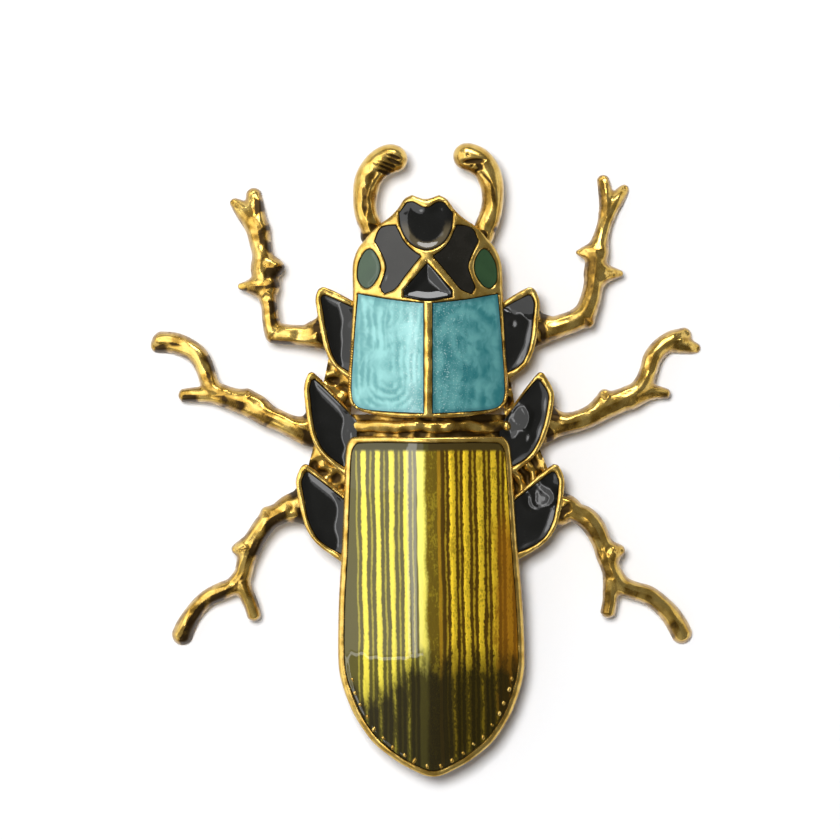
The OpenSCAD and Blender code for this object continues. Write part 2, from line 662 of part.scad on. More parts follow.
module web(side, row_a, tip_a, row_b, tip_b, meets) {
    upright(web_line(side, row_a, tip_a, row_b, tip_b, meets), back_z, web_top);
}

module limb(root, side, length, rows, z_root, z_end, reach) {
    path = limb_path(root, side, length, rows, z_root, z_end, reach);
    n = len(LIMB_SECTION);
    rings = len(path);
    points = concat([for (i = [0:rings - 1]) each limb_ring(path, i)], [limb_end(path)]);
    walls = [for (k = [0:rings - 2], j = [0:n - 1])
        [k * n + j, k * n + (j + 1) % n, (k + 1) * n + (j + 1) % n, (k + 1) * n + j]];
    start = [[for (j = [n - 1:-1:0]) j]];
    end = [for (j = [0:n - 1]) [(rings - 1) * n + j, (rings - 1) * n + (j + 1) % n, rings * n]];
    polyhedron(points, concat(start, walls, end));
}

// A leg with its spurs and toes, from its root on a leaf cell's rim down to the surface
module leg(side, row, tip, root, length, table) {
    base = leaf_base(side, tip);
    place = [base + side * root[0] * leaf_w, tip - root[1] * leaf_len];
    reach = max([for (rows = table) each [for (r = rows) norm([r[0], r[1]])]]);
    for (rows = table)
        limb(place, side, length, rows, back_z + leg_sole, 0, reach);
}

module antenna(side, rows) {
    place = [
        side * ANTENNA_ROOT[0] * shield_w / 2 + head_lean(ANTENNA_ROOT[1]),
        shield_front + ANTENNA_ROOT[1] * head_len
    ];
    limb(place, side, antenna_len, rows, back_z + antenna_sole, back_z + antenna_sole, 1);
}

module casting() {
    color(GOLD) {
        head_and_shield();
        wing_tray();
        neck_band();
        neck_plate();
        for (side = [LEFT, RIGHT]) {
            i = side == LEFT ? 0 : 1;
            leaf_cell(side, LEAF_FRONT[i], front_tip, FRONT_ROOT[i], front_leg_len,
                side == LEFT ? FRONT_LEG_LEFT : FRONT_LEG_RIGHT);
            leaf_cell(side, LEAF_MIDDLE[i], middle_tip, MIDDLE_ROOT[i], middle_leg_len,
                side == LEFT ? MIDDLE_LEG_LEFT : MIDDLE_LEG_RIGHT);
            leaf_cell(side, LEAF_HIND[i], hind_tip, HIND_ROOT[i], hind_leg_len,
                side == LEFT ? HIND_LEG_LEFT : HIND_LEG_RIGHT);
            web(side, LEAF_FRONT[i], front_tip, LEAF_MIDDLE[i], middle_tip, FRONT_WEB[i]);
            web(side, LEAF_MIDDLE[i], middle_tip, LEAF_HIND[i], hind_tip, HIND_WEB[i]);
            antenna(side, side == LEFT ? ANTENNA_LEFT : ANTENNA_RIGHT);
        }
    }
}

module enamel_snout() {
    color(BLACK) front_enamel(snout_line);
}

module enamel_brow() {
    color(BLACK) front_enamel(brow_line);
}

module enamel_cheek(side) {
    color(SMOKE) front_enamel(side_line(cheek_rows, side));
}

module enamel_eye(side) {
    color(GREEN) front_enamel(side_line(eye_rows, side));
}

module enamel_shield(side) {
    color(TURQUOISE) front_enamel(side_line(panel_rows, side));
}

module enamel_wings() {
    color(OLIVE)
        difference() {
            intersection() {
                upright(wing_line(wing_rim + fit_gap));
                wing_barrel(enamel_dish);
            }
            wing_barrel(cell_depth - fit_gap);
            intersection() {
                rib_strips(fit_gap);
                wing_barrel(cell_depth - rib_h - fit_gap);
            }
        }
}

// Enamel in a leaf cell, clear of its rim, of its floor and of the body's side
module enamel_leaf(side, row, tip) {
    floor_z = back_z + leaf_top - cell_depth + fit_gap;
    color(BLACK)
        difference() {
            upright(inset(leaf_line(side, row, tip, leaf_rim), fit_gap), floor_z,
                cell_depth - enamel_dish - fit_gap);
            upright(inset(front_outline, -fit_gap));
            upright(wing_line(-fit_gap));
            translate([-band_w / 2 - fit_gap, wing_front - weld - fit_gap, back_z])
                cube([band_w + 2 * fit_gap, band_len + 2 * weld + 2 * fit_gap, sky]);
        }
}

module brooch_pin() {
    bar_z = back_z - fit_gap - bar_t;
    hinge_y = bar_front - bar_margin;
    catch_y = bar_front - bar_len + bar_margin;
    free_y = catch_y - catch_len / 2;
    end_y = free_y - stem_free;
    post = post_share * knuckle_d;
    color(PIN_METAL) {
        translate([-bar_w / 2, bar_front - bar_len, bar_z]) cube([bar_w, bar_len, bar_t]);
        translate([-knuckle_len / 2, hinge_y - post / 2, stem_z])
            cube([knuckle_len, post, bar_z + bar_t / 2 - stem_z]);
        translate([-knuckle_len / 2, hinge_y, stem_z])
            rotate([0, 90, 0]) cylinder(d = knuckle_d, h = knuckle_len);
        translate([-post / 2, catch_y - catch_len / 2, stem_z])
            cube([post, catch_len, bar_z + bar_t / 2 - stem_z]);
        translate([0, catch_y + catch_len / 2, stem_z])
            rotate([90, 0, 0]) cylinder(d = knuckle_d, h = catch_len);
        translate([0, hinge_y, stem_z])
            rotate([90, 0, 0]) cylinder(d = stem_d, h = hinge_y - end_y);
        translate([0, end_y, stem_z])
            rotate([90, 0, 0])
                cylinder(r1 = stem_d / 2, r2 = point_share * stem_d / 2, h = stem_point);
    }
}

casting();
enamel_snout();
enamel_cheek(LEFT);  // enamel_cheek_left
enamel_cheek(RIGHT);  // enamel_cheek_right
enamel_brow();
enamel_eye(LEFT);  // enamel_eye_left
enamel_eye(RIGHT);  // enamel_eye_right
enamel_shield(LEFT);  // enamel_shield_left
enamel_shield(RIGHT);  // enamel_shield_right
enamel_wings();
enamel_leaf(LEFT, LEAF_FRONT[0], front_tip);  // enamel_leaf_front_left
enamel_leaf(RIGHT, LEAF_FRONT[1], front_tip);  // enamel_leaf_front_right
enamel_leaf(LEFT, LEAF_MIDDLE[0], middle_tip);  // enamel_leaf_middle_left
enamel_leaf(RIGHT, LEAF_MIDDLE[1], middle_tip);  // enamel_leaf_middle_right
enamel_leaf(LEFT, LEAF_HIND[0], hind_tip);  // enamel_leaf_hind_left
enamel_leaf(RIGHT, LEAF_HIND[1], hind_tip);  // enamel_leaf_hind_right
brooch_pin();
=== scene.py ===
"""Looks of the insect brooch: a cast gold beetle with enamel in its cells, lying face up.

Shapes are worked out in millimetres in the CAD frame (+Y to the head, +X to the right, +Z up)
and become metres when a mesh is made. Shares in the tables are the same as the part's, but for
the eyes' rounder ends.
"""
import math

import bmesh
import bpy
import numpy as np
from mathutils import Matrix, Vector
from mathutils.geometry import delaunay_2d_cdt


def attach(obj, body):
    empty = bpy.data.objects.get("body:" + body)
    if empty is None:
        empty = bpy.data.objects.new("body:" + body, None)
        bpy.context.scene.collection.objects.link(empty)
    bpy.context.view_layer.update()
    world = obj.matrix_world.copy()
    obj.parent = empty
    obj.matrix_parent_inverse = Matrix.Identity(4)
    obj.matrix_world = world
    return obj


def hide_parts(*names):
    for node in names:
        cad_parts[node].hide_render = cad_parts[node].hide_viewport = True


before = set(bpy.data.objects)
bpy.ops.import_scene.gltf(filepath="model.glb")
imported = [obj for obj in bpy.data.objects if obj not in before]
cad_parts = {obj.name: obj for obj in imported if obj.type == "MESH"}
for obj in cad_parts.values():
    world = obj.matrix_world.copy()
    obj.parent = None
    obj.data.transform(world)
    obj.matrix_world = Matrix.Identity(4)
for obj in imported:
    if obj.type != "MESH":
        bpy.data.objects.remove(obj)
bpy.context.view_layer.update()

MM = 0.001
LEFT, RIGHT = -1, 1
SIDE_NAMES = {LEFT: "left", RIGHT: "right"}

# Height of the flat back above the surface that the feet rest on, and heights above that back
BACK_Z = 3.0
FRONT_CROWN, FRONT_EDGE, SNOUT_EDGE = 4.1, 2.3, 1.6
WING_CROWN, WING_EDGE, TAIL_EDGE = 4.2, 2.1, 1.5
LEAF_TOP, WEB_TOP = 1.7, 1.0

# Head, neck shield, band and wing cases
SHIELD_W, SHIELD_LEN, HEAD_LEN = 12.8, 9.4, 8.2
SNOUT_LEAN, FRONT_CROWN_ALONG = 0.2, 3.4
BAND_LEN, BAND_W, BAND_DROP = 1.55, 13.4, 0.9
WING_FRONT, WING_LEN, WING_W = 1.85, 27.2, 14.9
WING_LEAN, WING_CROWN_BACK, WING_RIM = 0.42, 9.5, 0.52
SPINE_HALF, RIB_FIRST, RIB_PITCH = 0.92, 1.84, 1.12

# Leaf cells
LEAF_LEN, LEAF_W, LEAF_RIM, LEAF_ROOT = 8.0, 4.0, 0.38, 0.2
LEAF_BRIM = LEAF_RIM + 0.1
LEAF_ROUND, TIP_RIMS, ROOT_RIMS = 0.5, 1.6, 1.6
TIPS = {"front": WING_FRONT + 12.2, "middle": WING_FRONT + 5.5, "hind": WING_FRONT - 1.9}

# Legs and antennae
LEG_LENGTHS, ANTENNA = {"front": 12.0, "middle": 12.4, "hind": 10.4}, 6.6
LIMB_W, LIMB_H, LEG_SOLE, ANTENNA_SOLE, LIMB_ARCH = 1.6, 1.4, 0.1, 0.15, 1.6

# Enamel
CELL_DEPTH, DISH, FIT = 0.6, 0.12, 0.02

# Pitch and rings of the meshes, and how dark a piece's hidden sides and underside are, as painted
# shade
PITCH, LIMB_PITCH, ENAMEL_PITCH = 0.12, 0.08, 0.16
LIMB_RINGS = (0.025, 0.055, 0.09, 0.13, 0.18, 0.24, 0.31)
ENAMEL_RINGS = (0.05, 0.12, 0.2, 0.32, 0.46)
FOOT, SIDE_SHADE = 0.12, 0.35

SHIELD_REAR = WING_FRONT + BAND_LEN
SHIELD_FRONT = SHIELD_REAR + SHIELD_LEN

# Half outlines from the middle line: (across share, along share), and a 1 at a corner
SHIELD_SIDE = [
    (0, 0), (0.35, 0), (0.6, 0.02), (0.82, 0.05), (0.95, 0.1), (0.99, 0.16), (1, 0.26),
    (0.97, 0.58), (0.95, 0.83),
]
HEAD_SIDE = [
    (0.935, 0.08), (0.935, 0.25), (0.92, 0.38), (0.86, 0.5), (0.77, 0.59), (0.69, 0.675),
    (0.58, 0.74), (0.45, 0.81), (0.35, 0.89), (0.265, 0.985), (0.17, 1.025, 1), (0, 0.985),
]
WING_SIDE = [
    (0, 0), (0.8, 0), (0.86, 0.015), (0.885, 0.04), (0.905, 0.13), (0.945, 0.335), (0.985, 0.49),
    (1, 0.66), (0.97, 0.72), (0.87, 0.8), (0.77, 0.85), (0.635, 0.9), (0.46, 0.94), (0.29, 0.97),
    (0, 1),
]

# Cells of the head, from the shield's front, and a panel of the shield, from its rear
SNOUT_HALF = [
    (0, 0.488), (0.2, 0.553), (0.31, 0.693), (0.335, 0.845, 1), (0.235, 0.945, 1),
    (0.165, 0.955), (0, 0.9),
]
BROW_HALF = [(0, -0.005), (0.295, 0.03, 1), (0.3, 0.09, 1), (0, 0.356, 1)]
CHEEK = [
    (0.385, 0.727, 1), (0.345, 0.663), (0.29, 0.575), (0.2, 0.493), (0.08, 0.425, 1),
    (0.27, 0.244), (0.41, 0.107), (0.54, 0.06, 1), (0.585, 0.117), (0.54, 0.224), (0.51, 0.32),
    (0.55, 0.43), (0.645, 0.575, 1), (0.58, 0.69), (0.5, 0.72),
]
EYE = [
    (0.72, 0.495), (0.63, 0.43), (0.59, 0.31), (0.64, 0.195), (0.755, 0.115), (0.85, 0.17),
    (0.87, 0.27), (0.83, 0.4),
]
SHIELD_PANEL = [
    (0.056, 0.035, 1), (0.59, 0.055), (0.86, 0.085), (0.94, 0.15), (0.955, 0.28), (0.93, 0.56),
    (0.9, 0.83), (0.87, 1.05, 1), (0.46, 1), (0.056, 0.97, 1),
]

# What follows stands in this order: front left, front right, middle left and so on
PLACES = [(name, side) for name in TIPS for side in (LEFT, RIGHT)]

# Leaf cells: (tip out, bulge out, bulge back, low out, low back, foot back, root back)
LEAVES = dict(zip(PLACES, (
    (0.65, 0.71, 0.19, 0.445, 0.75, 0.99, 0.17), (0.58, 0.7, 0.22, 0.51, 0.75, 1, 0.18),
    (0.78, 0.885, 0.24, 0.67, 0.77, 1.13, 0.43), (0.68, 0.93, 0.3, 0.62, 0.82, 1.12, 0.48),
    (0.81, 0.945, 0.24, 0.67, 0.745, 1.05, 0.36), (0.85, 0.99, 0.24, 0.74, 0.74, 1.03, 0.37))))

# Where a web from the middle leaf cell on meets it and the one in front of it:
# (share of the way from low point to foot, share of the way from tip to root)
WEBS = dict(zip(PLACES[2:], ((0, 0.25), (0.75, 0.7), (0, 0), (0, 0.1))))

# Roots of the legs on the leaf cells' rims: (out share of LEAF_W, back share of LEAF_LEN)
LEG_ROOTS = dict(zip(PLACES, (
    (0.61, 0.4875), (0.62, 0.4475), (0.71, 0.6275), (0.7, 0.5725), (0.83, 0.4625), (0.86, 0.5))))

# Legs, their first line the shaft and the others spurs and toes: (outward, forward, width)
# from the root, in hundredths of the leg's length and of LIMB_W
LEGS = {
    ("front", LEFT): [
        [(-4.5, 0, 80), (1.5, -0.5, 140), (9.5, -1.5, 110), (17.5, -1, 100), (25, -0.5, 100),
         (31, 1, 95), (33.5, 8, 85), (34.5, 17, 80), (36, 25, 85), (37.5, 34, 100),
         (39, 43.5, 105), (39.5, 53, 100), (41.5, 64, 107.5), (43.5, 75.5, 105), (44.5, 85, 90),
         (45.5, 94, 75)],
        [(29.5, 1, 85), (33.5, -3, 45)],
        [(36.5, 31.5, 130), (43.5, 31.5, 95), (49.5, 31.5, 55), (54.5, 31.5, 30)],
        [(36.5, 43.5, 150), (31, 44, 95), (27, 44, 40)],
        [(41.5, 69, 100), (49.5, 79, 95), (56, 86, 65), (59.5, 88.5, 35)],
    ],
    ("front", RIGHT): [
        [(-4.5, 1, 80), (1.5, 0, 150), (6.5, 0.5, 135), (12, 1, 115), (18.5, 3, 110),
         (26.5, 6, 110), (33, 11, 110), (36.5, 19, 105), (38.5, 27.5, 100), (40, 37, 100),
         (40.5, 47, 100), (42.5, 56, 90), (45, 65.5, 75), (47.5, 75, 75), (48, 84, 75),
         (47, 93, 70), (45.5, 101, 60)],
        [(32, 8.5, 80), (36.5, 4, 50)],
        [(41.5, 51.5, 110), (34.5, 51.5, 70), (30.5, 51.5, 40), (28, 51.5, 20)],
        [(41.5, 37.5, 130), (48, 37.5, 85), (54, 37.5, 50), (57.5, 37.5, 30)],
        [(48.5, 77, 70), (54, 86, 75), (58.5, 92.5, 60), (60.5, 95, 40)],
    ],
    ("middle", LEFT): [
        [(-5, 1, 80), (0.5, 0, 150), (7, 0.5, 130), (14, 3, 110), (21.5, 6.5, 105),
         (29.5, 10, 115), (36.5, 15, 130), (43, 18, 127.5), (50, 20, 115), (58, 23, 95),
         (64.5, 27, 90), (68, 33.5, 90), (70.5, 41, 92.5), (74.5, 48.5, 97.5), (81, 53.5, 100),
         (90, 57, 105), (99.5, 58, 100)],
        [(42.5, 20.5, 80), (42.5, 25, 35)],
        [(58.5, 22.5, 100), (66, 23, 75), (75.5, 23.5, 75), (84.5, 23, 65)],
        [(96.5, 56.5, 75), (103, 54.5, 50)],
    ],
    ("middle", RIGHT): [
        [(-5, 1, 80), (0.5, 0, 160), (7, 1, 140), (13, 1, 115), (19.5, 2, 105), (26.5, 4, 105),
         (33.5, 7.5, 110), (40.5, 12, 125), (48, 15, 120), (55, 18, 112.5), (61.5, 22, 100),
         (66, 28, 95), (69, 35.5, 90), (71.5, 43.5, 95), (77, 50.5, 95), (84, 54.5, 100),
         (90, 55, 100)],
        [(40.5, 15.5, 90), (40, 21, 45)],
        [(57.5, 17, 100), (66, 20, 80), (73, 21.5, 70), (81, 20.5, 50)],
        [(87, 55.5, 90), (93.5, 59.5, 65)],
        [(89, 53, 90), (96, 51, 70), (100.5, 50, 50)],
    ],
    ("hind", LEFT): [
        [(-5, 1, 80), (0.5, 0, 150), (8.5, -1, 140), (16, -4.5, 115), (24, -9, 105),
         (30.5, -16, 102.5), (36, -24.5, 100), (40.5, -34, 95), (43.5, -43, 92.5),
         (46, -52.5, 87.5), (53, -61, 85), (62.5, -65.5, 90), (72, -70, 85), (79.5, -76.5, 85),
         (86, -85, 90), (90.5, -93, 100), (93.5, -100.5, 105)],
        [(25.5, -6.5, 80), (29, -3, 30)],
        [(41.5, -31.5, 110), (47.5, -32.5, 75), (52, -33, 40)],
        [(47.5, -58.5, 90), (43.5, -67, 80), (39.5, -76, 75), (37, -84.5, 70)],
    ],
    ("hind", RIGHT): [
        [(-5.5, 0, 80), (0, 0, 150), (7, 2, 130), (14, -1.5, 100), (21.5, -5.5, 110),
         (28, -12.5, 110), (33, -22.5, 100), (36.5, -31.5, 95), (39.5, -41, 92.5),
         (43.5, -50, 95), (50, -58, 95), (59.5, -62, 90), (70, -65.5, 95), (79, -72, 95),
         (87, -80, 100), (93, -89, 105), (97, -96.5, 105)],
        [(39.5, -33, 120), (45, -31.5, 80), (49, -31, 50)],
        [(42.5, -54, 95), (41, -62.5, 80), (40.5, -70, 75), (39, -79, 75)],
    ],
}
ANTENNA_ROOT = (0.71, 0.72)
ANTENNAE = {
    LEFT: [(0, -12, 90), (-2, -1, 110), (3, 11, 112.5), (5.5, 23.5, 115), (5.5, 35.5, 120),
           (4, 47.5, 130), (0.5, 59.5, 135), (-7, 71, 140), (-16.5, 79, 145), (-26, 82.5, 145),
           (-32, 81.5, 125)],
    RIGHT: [(2, -12, 90), (3, -2, 110), (8, 11, 110), (11, 23.5, 107.5), (12, 35.5, 110),
           (11.5, 47.5, 115), (8.5, 59.5, 125), (3, 71, 130), (-6, 79.5, 140), (-16, 84, 140),
           (-21.5, 85.5, 130)],
}


# Lines in plan

def length(v):
    return np.linalg.norm(v, axis=-1)


def unit(v):
    return v / np.maximum(length(v), 1e-9)[..., None]


def ease(edge0, edge1, x):
    """0 before edge0 and 1 after edge1, with a smooth step between."""
    t = np.clip((np.asarray(x, float) - edge0) / (edge1 - edge0), 0, 1)
    return t * t * (3 - 2 * t)


def hermite(p, q, leave, arrive, t):
    """Points at shares t of the smooth step from p to q."""
    t = np.asarray(t, float)[:, None]
    return ((2 * t**3 - 3 * t**2 + 1) * p + (t**3 - 2 * t**2 + t) * leave
            + (3 * t**2 - 2 * t**3) * q + (t**3 - t**2) * arrive)


def smooth_loop(rows, pitch=0.1):
    """Closed smooth line through rows of (x, y), with a 1 at corners; points `pitch` apart."""
    n = len(rows)
    points = np.array([row[:2] for row in rows], float)
    line = []
    for i in range(n):
        before, here, after, beyond = (points[(i + k) % n] for k in (-1, 0, 1, 2))
        chord = after - here
        leave = chord if len(rows[i]) > 2 else length(chord) * unit(after - before)
        arrive = chord if len(rows[(i + 1) % n]) > 2 else length(chord) * unit(beyond - here)
        steps = max(2, round(length(chord) / pitch))
        line.append(hermite(here, after, leave, arrive, np.arange(steps) / steps))
    return against_clock(np.concatenate(line))


def smooth_path(rows, pitch=0.15):
    """Open smooth line through rows of any width, its points about `pitch` apart."""
    points = np.array(rows, float)
    line = []
    for i in range(len(points) - 1):
        chord = points[i + 1] - points[i]
        leave = chord if i == 0 else (points[i + 1] - points[i - 1]) / 2
        arrive = chord if i == len(points) - 2 else (points[i + 2] - points[i]) / 2
        steps = max(2, round(length(chord[:2]) / pitch))
        line.append(hermite(points[i], points[i + 1], leave, arrive, np.arange(steps) / steps))
    return np.concatenate(line + [points[-1:]])


def against_clock(line):
    x, y = line.T
    area = np.sum(x * np.roll(y, -1) - np.roll(x, -1) * y)
    return line if area > 0 else line[::-1]


def inward(line):
    """Unit directions into a closed line that runs against the clock."""
    along = unit(np.roll(line, -1, 0) - np.roll(line, 1, 0))
    return np.stack([-along[:, 1], along[:, 0]], 1)


def inset(line, depth):
    return line + depth * inward(line)


def whole(half):
    return half + [(-x, y, *corner) for x, y, *corner in half[-2:0:-1]]


def edge_distance(points, loops):
    """Distance of each point from the nearest of the closed lines."""
    nearest = np.full(len(points), np.inf)
    for loop in loops:
        start, step = loop, np.roll(loop, -1, 0) - loop
        squares = np.maximum((step**2).sum(1), 1e-12)
        for part in np.array_split(np.arange(len(points)), len(points) // 2000 + 1):
            away = points[part][:, None] - start[None]
            share = np.clip((away * step).sum(2) / squares, 0, 1)
            gap = ((away - share[..., None] * step)**2).sum(2).min(1)
            nearest[part] = np.minimum(nearest[part], np.sqrt(gap))
    return nearest


def within(points, loop):
    """Which points lie inside a closed line."""
    x, y = points[:, :1], points[:, 1:]
    x0, y0 = loop.T
    x1, y1 = np.roll(loop, -1, 0).T
    crossing = (y0 > y) != (y1 > y)
    at = x0 + (y - y0) * (x1 - x0) / np.where(y1 == y0, 1e-12, y1 - y0)
    return (crossing & (x < at)).sum(1) % 2 == 1


# Places of the lines on the body

def head_lean(y):
    return -SNOUT_LEAN * np.maximum(0, (y - SHIELD_FRONT) / HEAD_LEN)


def leaning(line):
    return np.stack([line[:, 0] + head_lean(line[:, 1]), line[:, 1]], 1)


def head_rows(rows):
    return [(x * SHIELD_W / 2, SHIELD_FRONT + y * HEAD_LEN, *c) for x, y, *c in rows]


def shield_rows(rows):
    return [(x * SHIELD_W / 2, SHIELD_REAR + y * SHIELD_LEN, *c) for x, y, *c in rows]


def on_side(rows, side):
    return leaning(smooth_loop([(side * x, y, *c) for x, y, *c in rows]))


def wing_lean(y):
    return WING_LEAN * np.clip((WING_FRONT - y) / WING_LEN, 0, 1)


def wing_rows(rim):
    half, long = WING_W / 2 - rim, WING_LEN - 2 * rim
    return [(x * half, WING_FRONT - rim - y * long, *c) for x, y, *c in WING_SIDE]


def wing_line(rim):
    line = smooth_loop(whole(wing_rows(rim)))
    return np.stack([line[:, 0] + wing_lean(line[:, 1]), line[:, 1]], 1)


def body_side(side, y):
    """Where the side of the body stands at y."""
    middle = (min(BAND_W, SHIELD_W, WING_W) / 2, WING_FRONT + BAND_LEN / 2)
    rows = (wing_rows(0)[:2:-1] + [middle] + shield_rows(SHIELD_SIDE)[5:]
            + head_rows(HEAD_SIDE)[:3])
    half, places = np.array(rows).T
    return side * np.interp(y, places, half) + wing_lean(y)


def leaf_base(name, side):
    return body_side(side, TIPS[name] - LEAF_LEN / 2)


def leaf_rows(name, side, rim):
    tip_out, bulge_out, bulge, low_out, low, foot, root = LEAVES[name, side]
    tip, base = TIPS[name], leaf_base(name, side)
    inner = base - side * (LEAF_ROOT + rim)
    start = np.array([inner, tip - root * LEAF_LEN - ROOT_RIMS * rim])
    point = np.array([base + side * (tip_out * LEAF_W - rim / 2), tip - TIP_RIMS * rim])
    belly = np.array([base + side * (bulge_out * LEAF_W - rim), tip - bulge * LEAF_LEN])
    above = point + (LEAF_ROUND - rim / 2) * unit(start - point)
    below = point + (LEAF_ROUND - rim / 2) * unit(belly - point)
    return [
        (*start, 1), above, below, belly,
        (base + side * (low_out * LEAF_W - rim), tip - low * LEAF_LEN),
        (inner, tip - foot * LEAF_LEN + rim, 1),
    ]


def leaf_line(name, side, rim):
    return smooth_loop(leaf_rows(name, side, rim))


FRONT_OUTLINE = leaning(smooth_loop(whole(shield_rows(SHIELD_SIDE) + head_rows(HEAD_SIDE))))
SNOUT_LINE = leaning(smooth_loop(whole(head_rows(SNOUT_HALF))))
BROW_LINE = leaning(smooth_loop(whole(head_rows(BROW_HALF))))
CHEEK_LINES, EYE_LINES, PANEL_LINES = (
    {side: on_side(rows, side) for side in (LEFT, RIGHT)}
    for rows in (head_rows(CHEEK), head_rows(EYE), shield_rows(SHIELD_PANEL)))


# Heights of the surfaces

def arch_radius(reach, drop):
    return (reach**2 + drop**2) / (2 * drop)


def dome(x, y, arch, bow, crown, crown_y, sink):
    across = np.sqrt(np.maximum((arch - sink)**2 - x**2, 0.01))
    return BACK_Z + crown - bow + np.sqrt((bow - arch + across)**2 - (y - crown_y)**2)


def front_dome(x, y, sink=0.0):
    reach = SHIELD_LEN + HEAD_LEN - FRONT_CROWN_ALONG
    return dome(x, y, arch_radius(SHIELD_W / 2, FRONT_CROWN - FRONT_EDGE),
                arch_radius(reach, FRONT_CROWN - SNOUT_EDGE), FRONT_CROWN,
                SHIELD_REAR + FRONT_CROWN_ALONG, sink)


def wing_dome(x, y, sink=0.0):
    return dome(x - WING_LEAN / 2, y, arch_radius(WING_W / 2, WING_CROWN - WING_EDGE),
                arch_radius(WING_LEN - WING_CROWN_BACK, WING_CROWN - TAIL_EDGE), WING_CROWN,
                WING_FRONT - WING_CROWN_BACK, sink)


def level(height):
    return lambda x, y, sink=0.0: np.full(np.shape(x), height - sink)


def waves(points, size, seed, count=14):
    """Smooth uneven field between about -1 and 1, with bumps about `size` across."""
    rng = np.random.default_rng(seed)
    total = np.zeros(len(points))
    for _ in range(count):
        way = unit(rng.normal(size=points.shape[1]))
        turns = 2 * math.pi / (size * rng.uniform(1.3, 3.0))
        total += np.sin(points @ way * turns + rng.uniform(0, 2 * math.pi))
    return total * math.sqrt(2 / count) / 1.6


def rounded(distance, radius):
    """How far a wall's top lies below its crown at a distance from its edge."""
    near = np.minimum(distance, radius)
    return np.sqrt(np.maximum(radius**2 - (radius - near)**2, 0)) - radius


# Meshes

def fill(loops, pitch=None, rings=()):
    """Triangles inside the first closed line and outside the others, as points, triangles and
    the point on each place of each line. Points also stand at `rings` from every line, and on
    a grid `pitch` apart beyond them."""
    outer, holes = loops[0], loops[1:]
    ends = np.cumsum([len(loop) for loop in loops])
    bounds = [(a, b) for a, b in zip(np.r_[0, ends[:-1]], ends)]
    edges = [(i, i + 1 if i + 1 < b else a) for a, b in bounds for i in range(a, b)]
    points = np.concatenate(loops)
    if pitch:
        extra = []
        for ring in rings:
            for k, loop in enumerate(loops):
                line = inset(loop, ring if k == 0 else -ring)[::2]
                extra.append(line[edge_distance(line, loops) > 0.93 * ring])
        low, high = outer.min(0), outer.max(0)
        columns = np.arange(low[0], high[0], pitch)
        lines = np.arange(low[1], high[1], pitch * math.sqrt(0.75))
        grid = np.array([(x + pitch / 2 * (i % 2), y)
                         for i, y in enumerate(lines) for x in columns])
        clear = (max(rings) if rings else 0) + pitch / 2
        grid = grid[within(grid, outer)]
        extra.append(grid[edge_distance(grid, loops) > clear])
        extra = np.concatenate(extra)
        keep = within(extra, outer)
        for hole in holes:
            keep &= ~within(extra, hole)
        points = np.concatenate([points, extra[keep]])
    found = delaunay_2d_cdt([Vector(p) for p in points], edges, [], 1, 1e-6)
    flat = np.array([tuple(p) for p in found[0]])
    triangles = np.array(found[2])
    standing = {start: i for i, starts in enumerate(found[3]) for start in starts}
    lines = [[standing[i] for i in range(a, b)] for a, b in bounds]
    middles = flat[triangles].mean(1)
    keep = within(middles, outer)
    for hole in holes:
        keep &= ~within(middles, hole)
    return flat, triangles[keep], lines


class Shell:
    """Vertices and faces of one piece as it is put together, in millimetres."""

    def __init__(self):
        self.vertices, self.faces, self.stain_and_painted_light, self.count = [], [], [], 0

    def add(self, vertices, faces, stain_and_painted_light=0.0):
        """Adds a part and returns the number of its first vertex. Stain says how far patina,
        painted shade and painted reflection change its colour.
        """
        vertices = np.asarray(vertices, float)
        self.vertices.append(vertices)
        self.stain_and_painted_light.append(np.broadcast_to(np.asarray(stain_and_painted_light, float), len(vertices)))
        self.faces += [tuple(int(i) + self.count for i in face) for face in faces]
        self.count += len(vertices)
        return self.count - len(vertices)

    def bridge(self, upper, lower):
        """Walls between two closed rows of vertex numbers that run against the clock."""
        self.faces += [(lower[i - 1], lower[i], upper[i], upper[i - 1]) for i in range(len(upper))]

    def piece(self, name, sharp=40.0):
        """The Blender object, in metres."""
        mesh = bpy.data.meshes.new(name)
        vertices = np.concatenate(self.vertices)
        mesh.from_pydata((vertices * MM).tolist(), [], self.faces)
        layer = mesh.attributes.new("stain_and_painted_light", "FLOAT", "POINT")
        layer.data.foreach_set("value", np.concatenate(self.stain_and_painted_light).astype(np.float32))
        made = bmesh.new()
        made.from_mesh(mesh)
        bmesh.ops.remove_doubles(made, verts=made.verts, dist=1e-7)
        made.to_mesh(mesh)
        made.free()
        mesh.shade_smooth()
        mesh.set_sharp_from_angle(angle=math.radians(sharp))
        mesh.validate()
        thing = bpy.data.objects.new(name, mesh)
        bpy.context.scene.collection.objects.link(thing)
        return thing


